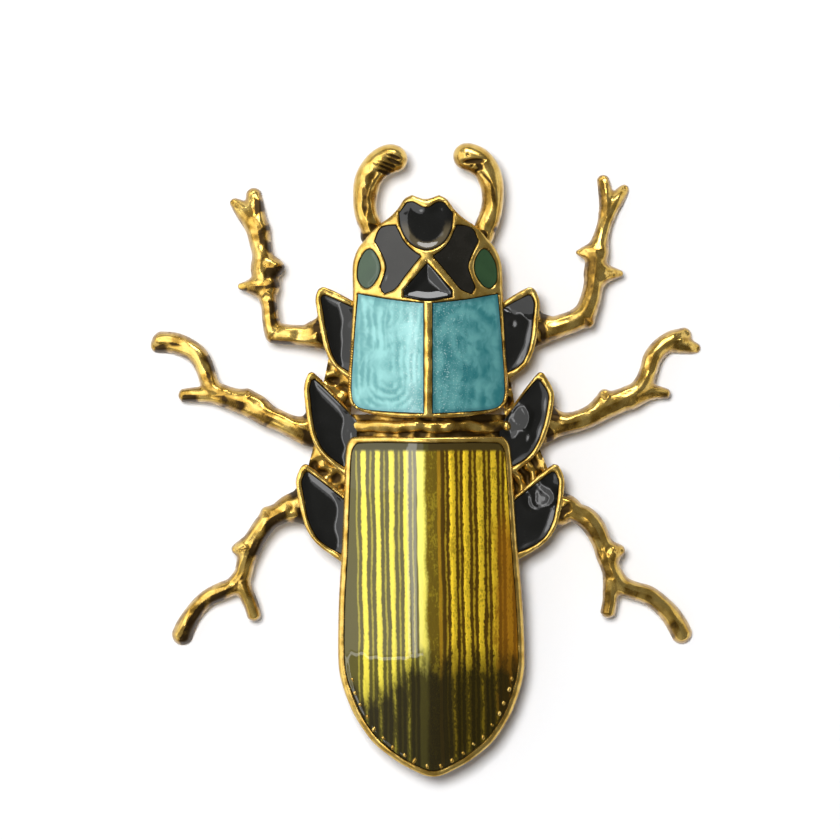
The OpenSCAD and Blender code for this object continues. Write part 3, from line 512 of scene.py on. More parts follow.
def tray(name, outer, cells, top, floor, pitch, rings):
    """A body with a shaped top, pockets in it and a flat base.
    top(points, distance) gives height and stain; floor(x, y) is the pockets' floor."""
    shell = Shell()
    loops = [outer] + cells
    flat, faces, lines = fill(loops, pitch, rings)
    height, stain_and_painted_light = top(flat, edge_distance(flat, loops))
    if cells:
        stain_and_painted_light = stain_and_painted_light * (0.3 + 0.7 * ease(0.1, 0.3, edge_distance(flat, [outer])))
    crown = shell.add(np.c_[flat, height], faces, stain_and_painted_light)
    rim = [crown + i for i in lines[0]]
    # The outer wall and the underside are darker, as painted shade.
    for rise, depth in ((0.3, 0.0), (0.08, FOOT / 3), (0.0, FOOT)):
        line = inset(outer, depth)
        start = shell.add(np.c_[line, np.full(len(line), BACK_Z + rise)], [], SIDE_SHADE)
        lower = list(range(start, start + len(line)))
        shell.bridge(rim, lower)
        rim = lower
    sheet, under, _ = fill([inset(outer, FOOT)])
    shell.add(np.c_[sheet, np.full(len(sheet), BACK_Z)], under[:, ::-1], SIDE_SHADE)
    for cell, line in zip(cells, lines[1:]):
        sheet, inner, edge = fill([cell])
        start = shell.add(np.c_[sheet, floor(*sheet.T)], inner, 1.0)
        shell.bridge([start + i for i in edge[0]], [crown + i for i in line])
    return shell.piece(name)


# Limbs

# How softly a limb's arms run together and flare at their host, and how high its widest line is
BLEND, GUSSET, BELT = 0.14, 0.3, 0.22
# Slopes in degrees from a limb's edge (0) to its crest (1)
RIDGED = {LEFT: ((0, 76), (0.3, 62), (0.44, 32), (0.62, 15), (0.9, 6), (1, 0)),
          RIGHT: ((0, 76), (0.3, 62), (0.42, 27), (0.6, 18), (0.92, 11), (1, 0))}
ROUND = ((0, 82), (0.25, 56), (0.6, 27), (1, 0))
# How dark the limbs' random patches are, and how dark the painted shade on their flank toward the
# body's middle and tail and on their skirts is
LEG_TARNISH_AND_SHADE = {LEFT: (0.45, 1.0, 0.5), RIGHT: (0.25, 0.65, 0.5)}
ANTENNA_TARNISH_AND_SHADE = (0.2, 0.5, 0.0)


def limb_profile(slopes):
    """Heights over a limb's sole, as shares of its thickness, from its edge to its crest."""
    share = np.linspace(0, 1, 101)
    rise = np.cumsum(np.tan(np.radians(np.interp(share, *zip(*slopes)))))
    rise -= rise[0]
    return share, BELT + (1 - BELT) * rise / rise[-1]


def limb_paths(place, side, size, lines, z_root, z_end, reach):
    """Middle lines of a limb and its spurs as rows of (x, y, sole, half width).
    The sole falls from z_root to z_end over `reach`, a share of the size."""
    paths = []
    for rows in lines:
        path = smooth_path(np.array(rows) / 100, 0.15 / size)
        away = np.minimum(1, length(path[:, :2]) / reach)
        paths.append(np.stack([place[0] + side * path[:, 0] * size, place[1] + path[:, 1] * size,
                               z_end + (z_root - z_end) * (1 - away**LIMB_ARCH),
                               path[:, 2] * LIMB_W / 2], 1))
    return paths


def limb_field(paths, points, host=None):
    """How deep points lie inside a limb seen from above, with its sole, its half width and
    how much its arms run together there. At a host's outline the limb flares to a gusset."""
    depths, rows = [], []
    for path in paths:
        start, step = path[:-1], np.diff(path, axis=0)
        away = points[:, None] - start[None, :, :2]
        share = (away * step[:, :2]).sum(2) / (step[:, :2]**2).sum(1)
        held = np.clip(share, 0, 1)
        near = ((away - held[..., None] * step[:, :2])**2).sum(2)
        past = np.maximum(share[:, -1] - 1, 0) * length(step[-1, :2])
        near[:, -1] += 1.6 * past**2
        depth = start[:, 3] + held * step[:, 3] - np.sqrt(near)
        best = depth.argmax(1)
        pick = np.arange(len(points)), best
        depths.append(depth[pick])
        rows.append(start[best, 2:] + held[pick][:, None] * step[best, 2:])
    depths = np.array(depths)
    weights = np.exp((depths - depths.max(0)) / BLEND)
    total = weights.sum(0)
    joint = BLEND * np.log(total)
    depth = depths.max(0) + joint
    sole, half = ((weights / total)[..., None] * np.array(rows)).sum(0).T
    if host is not None:
        apart = np.where(within(points, host), 0, -edge_distance(points, [host])) - 0.1
        flare = GUSSET * np.log1p(np.exp(np.clip((apart - depth) / GUSSET, -30, 30)))
        depth = depth + np.where(apart > -1.6, flare, 0)
    return depth, sole, half, joint


def outline(xs, ys, depth):
    """The longest closed line where a field on a grid crosses zero."""
    inside = depth > 0
    squares = inside[:-1, :-1] * 1 + inside[1:, :-1] + inside[1:, 1:] + inside[:-1, 1:]
    links = {}
    for i, j in np.argwhere((squares > 0) & (squares < 4)):
        corners = [(i, j), (i + 1, j), (i + 1, j + 1), (i, j + 1)]
        sides = [tuple(sorted((corners[k], corners[(k + 1) % 4]))) for k in range(4)]
        crossed = [pair for pair in sides if inside[pair[0]] != inside[pair[1]]]
        for one, other in zip(crossed[::2], crossed[1::2]):
            links.setdefault(one, []).append(other)
            links.setdefault(other, []).append(one)
    longest = []
    while links:
        here, loop = next(iter(links)), []
        while here is not None:
            loop.append(here)
            here = next((other for other in links.pop(here) if other in links), None)
        longest = max(longest, loop, key=len)
    line = []
    for a, b in longest:
        share = depth[a] / (depth[a] - depth[b])
        line.append((xs[a[0]] + share * (xs[b[0]] - xs[a[0]]),
                     ys[a[1]] + share * (ys[b[1]] - ys[a[1]])))
    return against_clock(np.array(line))


def even(line, pitch):
    """A closed line's points moved along it until they are `pitch` apart."""
    ring = np.concatenate([line, line[:1]])
    along = np.r_[0, np.cumsum(length(np.diff(ring, axis=0)))]
    places = np.linspace(0, along[-1], max(8, round(along[-1] / pitch)), endpoint=False)
    return np.stack([np.interp(places, along, ring[:, k]) for k in (0, 1)], 1)


def cast_limb(name, paths, slopes, seed, side, detail, tarnish_and_shade, host=None):
    """A limb as cast: its arms run together, uneven, with dark patches, painted shade on the flank
    that faces the body's middle and tail, and a skirt darkened as painted shade. detail(points,
    share) gives how deep it is cut and how dark it is there."""
    reach = np.concatenate(paths)[:, :2]
    xs, ys = (np.arange(low - LIMB_W, high + LIMB_W, LIMB_PITCH)
              for low, high in zip(reach.min(0), reach.max(0)))
    grid = np.stack(np.meshgrid(xs, ys, indexing="ij"), -1).reshape(-1, 2)
    depth = limb_field(paths, grid, host)[0].reshape(len(xs), len(ys))
    line = even(outline(xs, ys, depth), LIMB_PITCH)
    flat, faces, lines = fill([line], LIMB_PITCH, LIMB_RINGS)
    depth, sole, half, joint = limb_field(paths, flat, host)
    share = np.clip(depth / np.maximum(half, 0.3), 0, 1)
    share[lines[0]] = 0
    thick = 2 * (np.minimum(half, LIMB_W / 2) * LIMB_H / LIMB_W)
    cut, dark = detail(flat, share)
    lumps = 0.1 * waves(flat, 1.4, seed) + 0.012 * waves(flat, 0.6, seed + 1)
    crest = (sole + thick * np.interp(share, *limb_profile(slopes))
             + lumps * ease(0.2, 0.8, share) - cut)
    under = sole + thick * BELT * (1 - np.sqrt(1 - (1 - np.minimum(share / 0.5, 1))**2))
    uneven = waves(flat, 1.1, seed + 2)
    # The flank that faces the body's middle and tail is darkened as painted shade.
    step = np.array([-0.035 * side, -0.035])
    slope = (limb_field(paths, flat + step, host)[0] - depth) / 0.05
    patchy, shaded_flank, skirt = tarnish_and_shade
    patches = np.maximum(patchy * ease(0.0, 0.6, uneven),
                         shaded_flank * ease(0.15, -0.6, slope) * ease(-0.9, 0.2, uneven))
    # Joints are dark in the casting itself; the skirt is darkened as painted shade.
    shade = np.maximum(0.4 * ease(0.01, 0.1, joint), skirt * ease(0.42, 0.26, share))
    stain_and_painted_light = np.maximum(np.maximum(dark, shade), patches)
    shell = Shell()
    upper = shell.add(np.c_[flat, np.maximum(crest, 0.05)], faces, stain_and_painted_light)
    under = np.maximum(np.minimum(under, crest - 0.01), 0.02)
    # The limb's underside is darker, as painted shade.
    lower = shell.add(np.c_[flat, under], faces[:, ::-1], 0.3)
    shell.bridge([upper + i for i in lines[0]], [lower + i for i in lines[0]])
    return shell.piece(name, sharp=180)


def leg(name, side):
    out, back = LEG_ROOTS[name, side]
    place = (leaf_base(name, side) + side * out * LEAF_W, TIPS[name] - back * LEAF_LEN)
    lines = LEGS[name, side]
    reach = max(length(np.array(row[:2]) / 100) for line in lines for row in line)
    paths = limb_paths(place, side, LEG_LENGTHS[name], lines, BACK_Z + LEG_SOLE, 0, reach)
    rim = leaf_line(name, side, 0)
    seed = 10 * len(name) + side

    def detail(points, share):
        near = ease(1.3, 0.2, edge_distance(points, [rim]))
        patches = ease(-0.1, 0.6, waves(points, 0.6, seed + 5) + 0.4 * near)
        return 0.09 * near * patches, near * (0.25 + 0.9 * patches)

    return cast_limb(f"leg_{name}_{SIDE_NAMES[side]}", paths, RIDGED[side], seed, side, detail,
                     LEG_TARNISH_AND_SHADE[side], rim)


# Pockets in the antennae's hooks: (x, y, half length, half width, turn in degrees, depth, dark)
POCKETS = {
    LEFT: [(-2.66, 24.27, 0.5, 0.14, -20, 0.18, 1.3), (-2.84, 23.96, 0.55, 0.13, -22, 0.18, 1.3),
           (-3.3, 23.7, 0.6, 0.11, -22, 0.16, 1.2), (-3.4, 23.4, 0.68, 0.12, -22, 0.16, 1.3),
           (-3.7, 23.1, 0.5, 0.14, -15, 0.12, 1.2), (-4.4, 22.75, 0.5, 0.22, 45, 0.09, 0.8),
           (-4.75, 21.9, 0.7, 0.18, 72, 0.08, 0.7), (-5.05, 20.6, 1.0, 0.17, 92, 0.08, 0.85),
           (-4.45, 21.2, 1.9, 0.5, 80, 0.0, 0.5)],
    RIGHT: [(3.66, 23.92, 0.74, 0.19, 6, 0.2, 1.3), (4.1, 23.55, 0.34, 0.15, -55, 0.12, 1.2),
            (3.5, 23.55, 0.16, 0.12, 40, 0.08, 1.0), (3.95, 23.2, 0.34, 0.1, 24, 0.1, 1.1),
            (3.21, 24.45, 0.12, 0.1, 0, 0.06, 1.0), (4.75, 22.5, 0.8, 0.13, -48, 0.06, 0.95),
            (5.25, 21.4, 0.9, 0.15, 98, 0.05, 0.8)],
}


def antenna(side):
    place = (side * ANTENNA_ROOT[0] * SHIELD_W / 2 - SNOUT_LEAN * ANTENNA_ROOT[1],
             SHIELD_FRONT + ANTENNA_ROOT[1] * HEAD_LEN)
    sole = BACK_Z + ANTENNA_SOLE
    paths = limb_paths(place, side, ANTENNA, [ANTENNAE[side]], sole, sole, 1)

    def detail(points, share):
        patches = waves(points, 0.7, 90 + side)
        root = ease(19.7, 18.9, points[:, 1])
        dark = root * (0.35 + 0.8 * ease(0.0, 0.7, patches))
        deep = 0.12 * root * ease(0.0, 0.7, patches)
        for x, y, long, wide, turn, depth, shade in POCKETS[side]:
            c, s = math.cos(math.radians(turn)), math.sin(math.radians(turn))
            along = ((points[:, 0] - x) * c + (points[:, 1] - y) * s) / long
            across = ((points[:, 1] - y) * c - (points[:, 0] - x) * s) / wide
            inside = ease(1.5, 0.6, np.sqrt(along**2 + across**2) + 0.3 * patches)
            deep = np.maximum(deep, inside * depth)
            dark = np.maximum(dark, inside * shade)
        return deep, dark

    return cast_limb(f"antenna_{SIDE_NAMES[side]}", paths, ROUND, 70 + side, side, detail,
                     ANTENNA_TARNISH_AND_SHADE)


# Cast body

def cell_walls(name, outer, cells, surface, seed, last_ring, radius=0.26, lumps=0.02):
    """Cast walls round sunk cells: rounded, a little uneven, dark along their edges, with patina
    in the grooves and painted shade on the steep flanks.
    """
    def top(points, distance):
        x, y = points.T
        uneven = lumps * waves(points, 1.1, seed) + lumps / 3 * waves(points, 0.4, seed + 1)
        patches = 0.3 * ease(-0.1, 0.8, waves(points, 1.0, seed + 2))
        # Dark along the edges: patina in the grooves and painted shade on the walls' steep flanks.
        stain_and_painted_light = ease(0.15, 0.0, distance) + patches
        return surface(x, y) + rounded(distance, radius) * 0.65 - lumps + uneven, stain_and_painted_light

    return tray(name, outer, cells, top, lambda x, y: surface(x, y, CELL_DEPTH), PITCH,
                (0.04, 0.1, last_ring))


def head_and_shield():
    cells = [SNOUT_LINE, BROW_LINE]
    for side in (LEFT, RIGHT):
        cells += [CHEEK_LINES[side], EYE_LINES[side], PANEL_LINES[side]]
    return cell_walls("head_and_shield", FRONT_OUTLINE, cells, front_dome, 3, 0.17)


def wing_tray():
    return cell_walls("wing_tray", wing_line(0), [wing_line(WING_RIM)], wing_dome, 5, 0.18)


def leaf_rim(name, side):
    return cell_walls(f"leaf_rim_{name}_{SIDE_NAMES[side]}", leaf_line(name, side, 0),
                      [leaf_line(name, side, LEAF_BRIM)], level(BACK_Z + LEAF_TOP),
                      7 * len(name) + side, 0.16, 0.25, 0.03)


def tail_beads():
    """Small cast beads in the tail's enamel, along its rim."""
    places = [p for p in even(inset(wing_line(WING_RIM), 0.3), 1.05) if p[1] < -17]
    rng = np.random.default_rng(8)
    shell, rows, sides = Shell(), 5, 12
    turns = np.linspace(0, 2 * math.pi, sides, endpoint=False)
    for x, y in places:
        radius, tilt = rng.uniform(0.14, 0.21), rng.uniform(0.1, 0.4)
        middle = np.array([x, y, wing_dome(x, y, DISH) + rng.uniform(-0.06, 0.02)])
        middle[:2] += rng.uniform(-0.1, 0.1, 2)
        points = [middle + (0, 0, -0.7 * radius)]
        for k in range(1, rows + 1):
            turn = math.pi * k / (rows + 1)
            wide = radius * math.sin(turn) * (1 + tilt * np.cos(2 * turns + radius * 50))
            points += list(middle + np.stack([
                wide * np.cos(turns), wide * np.sin(turns),
                np.full(sides, -0.8 * radius * math.cos(turn))], 1))
        points.append(middle + (0, 0, 0.8 * radius))
        foot = shell.add(points, [], 0.25)
        rings = [[foot + 1 + k * sides + i for i in range(sides)] for k in range(rows)]
        for lower, upper in zip(rings, rings[1:]):
            shell.bridge(upper, lower)
        peak = rings[-1][-1] + 1
        shell.faces += [(foot, rings[0][i], rings[0][i - 1]) for i in range(sides)]
        shell.faces += [(rings[-1][i - 1], rings[-1][i], peak) for i in range(sides)]
    return shell.piece("tail_beads", sharp=180)


def web(name, other, side):
    """Hammered sheet between a leaf cell and the one behind it."""
    rows = leaf_rows(name, side, 0)[4:] + leaf_rows(other, side, 0)[:2]
    low, foot, root, tip = (np.array(row[:2]) for row in rows)
    into = np.array([0, 0.3])
    meets_front, meets_rear = WEBS[other, side]
    rows = [low + meets_front * (foot - low) + into, foot + into, root - into,
            tip + meets_rear * (root - tip) - into]
    line = smooth_loop([(*p, 1) for p in rows])

    def top(points, distance):
        lumps = waves(points, 0.6, 31 + side)
        return BACK_Z + WEB_TOP + 0.02 + 0.16 * lumps, 0.2 + 0.7 * ease(0.5, -0.5, lumps)

    return tray(f"web_{other}_{SIDE_NAMES[side]}", line, [], top, None, 0.1, (0.05,))


def neck_band():
    """Hammered bar between the neck shield and the wing cases, in dark grooves, darker toward its
    right end as painted shade.
    """
    half, front, rear = BAND_W / 2, SHIELD_REAR + 0.25, WING_FRONT - 0.25
    line = smooth_loop([(-half, rear, 1), (half, rear, 1), (half, front, 1), (-half, front, 1)])
    crown = WING_CROWN - BAND_DROP
    radius = arch_radius(half, crown - 0.9)
    middle = SHIELD_REAR - 0.72

    def top(points, distance):
        x, y = points.T
        arch = BACK_Z + crown - radius + np.sqrt(radius**2 - x**2)
        away = np.abs(y - middle + 0.05 * np.sin(x * 1.7))
        bar = np.maximum(1 - (away / 0.5)**2, 0)**0.6
        lumps = waves(points * (0.6, 1.0), 0.5, 41)
        knob = np.exp(-((np.abs(x) - half + 0.3) / 0.22)**2 - ((y - middle) / 0.4)**2)
        height = arch + 0.42 * bar + 0.2 * knob - 0.12 + 0.1 * lumps
        # Dark grooves are patina; the right end is darkened as painted shade.
        stain_and_painted_light = np.clip(0.85 - 0.7 * bar - 0.45 * lumps + 0.25 * ease(0, 2, x) - knob, 0, 1.1)
        return height, stain_and_painted_light

    return tray("neck_band", line, [], top, None, 0.09, (0.05,))


# Enamel

def dress(thing, finish, node):
    """Gives a piece its finish, hangs it on the root body and hides the part of model.glb that it
    stands for.
    """
    thing.data.materials.append(finish)
    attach(thing, "root")
    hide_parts(node)


def enamel(name, finish, line, surface, rise=0.08, reach=0.3, lift=None, shade=None):
    """Enamel in a cell: a glossy pool that climbs a little at its walls."""
    loop = inset(line, FIT)
    shell = Shell()
    flat, faces, lines = fill([loop], ENAMEL_PITCH, ENAMEL_RINGS)
    x, y = flat.T
    distance = edge_distance(flat, [loop])
    pool = surface(x, y, DISH + 0.03) + rise * np.exp(-(distance / reach)**1.5)
    if lift:
        pool = pool + lift(x, y, distance)
    # The shade mask puts painted shade along the turquoise panels' walls and a painted reflection
    # at the snout's walls.
    crown = shell.add(np.c_[flat, pool], faces, shade(x, y, distance) if shade else 0.0)
    sheet, under, edge = fill([loop])
    start = shell.add(np.c_[sheet, surface(*sheet.T, CELL_DEPTH - 0.05)], under[:, ::-1])
    shell.bridge([crown + i for i in lines[0]], [start + i for i in edge[0]])
    dress(shell.piece(name, sharp=50), finish, f"enamel_{name}")


def snout_bowl(x, y, distance):
    """The snout's enamel is level across in its middle, below its walls."""
    level_across = front_dome(-SNOUT_LEAN * 0.7 + 0 * x, y) - front_dome(x, y)
    return (level_across - 0.08) * ease(0.1, 0.65, distance)


def brow_bowl(x, y, distance):
    return -0.095 * ease(0.1, 0.75, distance)


def painted_snout_reflection(x, y, distance):
    """A painted reflection: the enamel is painted lighter grey brown near the snout's walls, but
    for its front.
    """
    return ease(0.62, 0.46, distance) * ease(0.0, 0.12, distance) * ease(19.3, 18.2, y)


# Painted shade along the turquoise panels' walls.
def panel_shade(x, y, distance):
    return ease(0.4, 0.05, distance)


def bubble(x, y, distance):
    """A burst bubble in the right cheek."""
    return -0.04 * np.exp(-((np.hypot(x - 1.44, y - 16.24) - 0.2) / 0.07)**2)


def wing_ripple(x, y, distance):
    """The wings' enamel still shows the ribs a little."""
    u = np.abs(x - wing_lean(y))
    ribs = np.cos((u - RIB_FIRST) * 2 * math.pi / RIB_PITCH) * ease(1.2, 1.5, u)
    return 0.008 * ribs * ease(0.1, 0.6, distance)


# How far from the body the enamel of a left leaf cell climbs to it
CLIMBS = {"front": 0.88, "middle": 0.5, "hind": 0.62}

# Where the enamel of a right leaf cell leans over, and how it folds there:
# (out, back, half width, half length, slope, depth of folds)
LEANS = {"front": (1.1, 0.85, 2.6, 1.5, 0.22, 0.0), "middle": (1.0, 3.9, 1.0, 1.5, 0.2, 0.02),
         "hind": (1.9, 2.5, 1.2, 1.7, 0.1, 0.035)}


def leaf_tilt(name, side):
    """The enamel climbs to the body in the left leaf cells and leans over in the right ones."""
    def lift(x, y, distance):
        out = (x - leaf_base(name, side)) * side
        run = waves(np.stack([x, y], -1), 0.9, 5 * len(name) + side)
        if side == LEFT:
            wide = CLIMBS[name]
            return 0.23 * wide * np.clip(1 - (out - 0.11 * run) / wide, 0, 1.3)**1.6
        middle, back, wide, long, slope, deep = LEANS[name]
        apart = np.hypot((out - middle) / wide, (TIPS[name] - back - y) / long) + 0.35 * run
        slow = waves(np.stack([x, y], -1), 1.4, 5 * len(name))
        folds = deep * np.cos(9 * apart) * ease(0.1, 0.5, apart) * ease(1.5, 1.1, apart)
        lean = slope * (out - middle) * ease(1.3, 0.8, apart)
        return lean + folds + 0.013 * slow * ease(0, 0.5, distance)
    return lift


# Shader maths

class Socket:
    """A shader value that Python's operators work on, through Math nodes."""

    def __init__(self, finish, socket):
        self.finish, self.socket = finish, socket

    def math(self, operation, *values):
        return self.finish.node("ShaderNodeMath", {"operation": operation},
                                dict(enumerate((self,) + values)))

    def __add__(self, other):
        return self.math("ADD", other)

    def __mul__(self, other):
        return self.math("MULTIPLY", other)

    def __sub__(self, other):
        return self.math("SUBTRACT", other)

    def __truediv__(self, other):
        return self.math("DIVIDE", other)

    def __pow__(self, other):
        return self.math("POWER", other)

    def __rsub__(self, other):
        return self.finish.node("ShaderNodeMath", {"operation": "SUBTRACT"}, {0: other, 1: self})

    __radd__, __rmul__ = __add__, __mul__

    def __abs__(self):
        return self.math("ABSOLUTE")

    def cos(self):
        return self.math("COSINE")

    def step(self, low, high):
        """0 below low, 1 above high, smooth between; low may be the larger."""
        return self.finish.node("ShaderNodeMapRange", {"interpolation_type": "SMOOTHSTEP"},
                                {0: self, 1: low, 2: high, 3: 0.0, 4: 1.0})

    def clip(self):
        return self.finish.node("ShaderNodeClamp", {}, {0: self})


class Nodes:
    """A tree of shader nodes as it is built up."""

    def __init__(self, tree):
        self.tree = tree

    def node(self, kind, settings, inputs, output=0):
        """A node with its settings made first, then its sockets linked or set."""
        node = self.tree.nodes.new(kind)
        for key, value in settings.items():
            setattr(node, key, value)
        for key, value in inputs.items():
            self.put(node.inputs[key], value)
        return Socket(self, node.outputs[output])

    def put(self, socket, value):
        if isinstance(value, Socket):
            self.tree.links.new(value.socket, socket)
        elif socket.type == "RGBA" and len(value) == 3:
            socket.default_value = (*value, 1.0)
        else:
            socket.default_value = value


class Finish(Nodes):
    """A material as it is built up."""

    def __init__(self, name):
        self.material = bpy.data.materials.new(name)
        self.material.use_nodes = True
        super().__init__(self.material.node_tree)
        self.shader = self.tree.nodes["Principled BSDF"]
        place = self.node("ShaderNodeTexCoord", {}, {}, "Object")
        self.place = self.vector("SCALE", place, scale=1 / MM)
        self.x, self.y = (self.node("ShaderNodeSeparateXYZ", {}, {0: self.place}, axis)
                          for axis in "XY")

    def vector(self, operation, *vectors, scale=None):
        inputs = dict(enumerate(vectors))
        if scale is not None:
            inputs["Scale"] = scale
        return self.node("ShaderNodeVectorMath", {"operation": operation}, inputs)

    def mix(self, share, first, second):
        """A colour between two colours."""
        return self.node("ShaderNodeMix", {"data_type": "RGBA"}, {0: share, 6: first, 7: second}, 2)

    def stain_and_painted_light(self):
        """How far the mesh's patina, painted shade and painted reflection change a place's colour.
        """
        return self.node("ShaderNodeAttribute", {"attribute_name": "stain_and_painted_light"}, {}, "Fac")

    def noise(self, size, detail=2.0, stretch=None, warp=None, output="Fac"):
        """Noise with blotches about `size` millimetres across."""
        place = self.place
        if warp is not None:
            place = self.vector("ADD", place, warp)
        if stretch:
            place = self.vector("MULTIPLY", place, stretch)
        return self.node("ShaderNodeTexNoise", {}, {"Vector": place, "Scale": 1 / size,
                                                    "Detail": detail}, output)

    def bump(self, height, strength, distance):
        """A normal from a height, with the relief's depth in millimetres."""
        return self.node("ShaderNodeBump", {}, {"Strength": strength, "Distance": distance * MM,
                                                "Height": height})

    def feed(self, **values):
        for key, value in values.items():
            self.put(self.shader.inputs[key.replace("_", " ")], value)
        return self.material


def antique_gold():
    """Polished gold plating, worn pale on crests and left brown black in hollows, and darkened as
    painted shade on shaded flanks, skirts, undersides and wall flanks.
    """
    f = Finish("antique_gold")
    stain_and_painted_light, cloud, grain = f.stain_and_painted_light(), f.noise(0.9, 3.0), f.noise(0.22, 2.0)
    # The stain attribute holds patina and painted shade alike, so dark and warm carry both.
    dark = (stain_and_painted_light + (cloud - 0.5) * 0.9 + (grain - 0.5) * 0.35).step(0.35, 0.95)
    warm = (stain_and_painted_light + (cloud - 0.45) * 1.1).step(-0.02, 0.75)
    gold = f.mix(cloud.step(0.3, 0.7), (0.78, 0.545, 0.155), (0.68, 0.43, 0.085))
    gold = f.mix(warm * 0.85, gold, (0.36, 0.19, 0.02))
    gold = f.mix(dark, gold, (0.05, 0.027, 0.006))
    relief = cloud * 0.6 + grain * 0.4
    return f.feed(Base_Color=gold, Metallic=0.85, Roughness=0.17 + dark * 0.25 + grain * 0.08,
                  Normal=f.bump(relief, 0.35, 0.05))


def glossy(name, deep, thin):
    """Opaque enamel under a clear gloss, a little uneven in its colour."""
    f = Finish(name)
    cloud, dust = f.noise(2.2, 3.0), f.noise(0.12, 2.0)
    colour = f.mix(cloud.step(0.35, 0.75), deep, thin)
    colour = f.mix(dust.step(0.7, 0.8) * 0.15, colour, (0.2, 0.19, 0.17))
    # The stain attribute paints the snout's enamel lighter grey brown near its walls, a painted
    # reflection.
    colour = f.mix(f.stain_and_painted_light() * (0.5 + cloud), colour, (0.1, 0.08, 0.045))
    return f.feed(Base_Color=colour, Roughness=0.05 + cloud * 0.03,
                  Normal=f.bump(f.noise(1.4, 1.0), 0.3, 0.02))


def turquoise_enamel():
    """Pearly enamel: mica brushed in narrow bends on the left panel, in clouds and a hook on the
    right one, with painted shade along the walls. The left panel is paler: its own tint, with
    painted light."""
    f = Finish("turquoise_enamel")
    warp = f.noise(2.0, 2.0, output="Color")
    warp = f.vector("SCALE", f.vector("SUBTRACT", warp, (0.5, 0.5, 0.5)), scale=2.0)
    cloud, slow = f.noise(1.6, 4.0, warp=warp), f.noise(2.4, 1.0, stretch=(1.0, 0.5, 1.0))
    streak = f.noise(0.45, 3.0, stretch=(1.0, 0.3, 1.0), warp=warp)
    mica = f.noise(0.1, 1.0)

    def bends(x, y, way):
        """Distance from the middle of strokes that turn round beyond y and run straight before."""
        across = f.x - x + (slow - 0.5) * 1.8 + (cloud - 0.5) * 0.3
        along = ((f.y - y) * way).math("MAXIMUM", 0.0)
        return (across * across + along * along) ** 0.5

    left = f.x.step(0.4, -0.4)
    strokes = (bends(-3.2, 6.2, -1.0) * (2 * math.pi / 0.62) + streak * 3.0).cos()
    hook = (bends(2.9, 9.4, 1.0) * (2 * math.pi / 1.3) + streak * 4.0).cos()
    where = f.noise(1.8, 1.0).step(0.3, 0.6)
    gleam = abs(f.x + 1.7 + (slow - 0.5) * 1.2).step(0.5, 0.0) * abs(f.y - 9.4).step(2.6, 1.0)
    brushed = (strokes * left * 0.11 + hook * (1.0 - left) * 0.09) * where + gleam * 0.1
    pale = (cloud * 0.65 + streak * 0.35 + brushed).step(0.3, 0.68)
    # The left panel is paler than the right: partly its own tint, partly painted light from the
    # left.
    deep = f.mix(left, (0.02, 0.16, 0.175), (0.1, 0.34, 0.34))
    light = f.mix(left, (0.12, 0.36, 0.36), (0.27, 0.6, 0.58))
    colour = f.mix(pale, deep, light)
    # Painted shade along the walls, where the stain attribute marks them.
    wall = f.mix(left, (0.015, 0.1, 0.12), (0.05, 0.22, 0.24))
    colour = f.mix(f.stain_and_painted_light() * 0.6, colour, wall)
    sparkle = mica.step(0.6, 0.72) * abs(f.x).step(4.5, 0.8)
    colour = f.mix(sparkle * 0.55, colour, (0.6, 0.8, 0.78))
    return f.feed(Base_Color=colour, Metallic=pale * 0.1, Roughness=0.4, Coat_Weight=1.0,
                  Coat_Roughness=0.16, Specular_IOR_Level=0.2,
                  Normal=f.bump(pale * 0.6 + mica * 0.3, 0.3, 0.05))


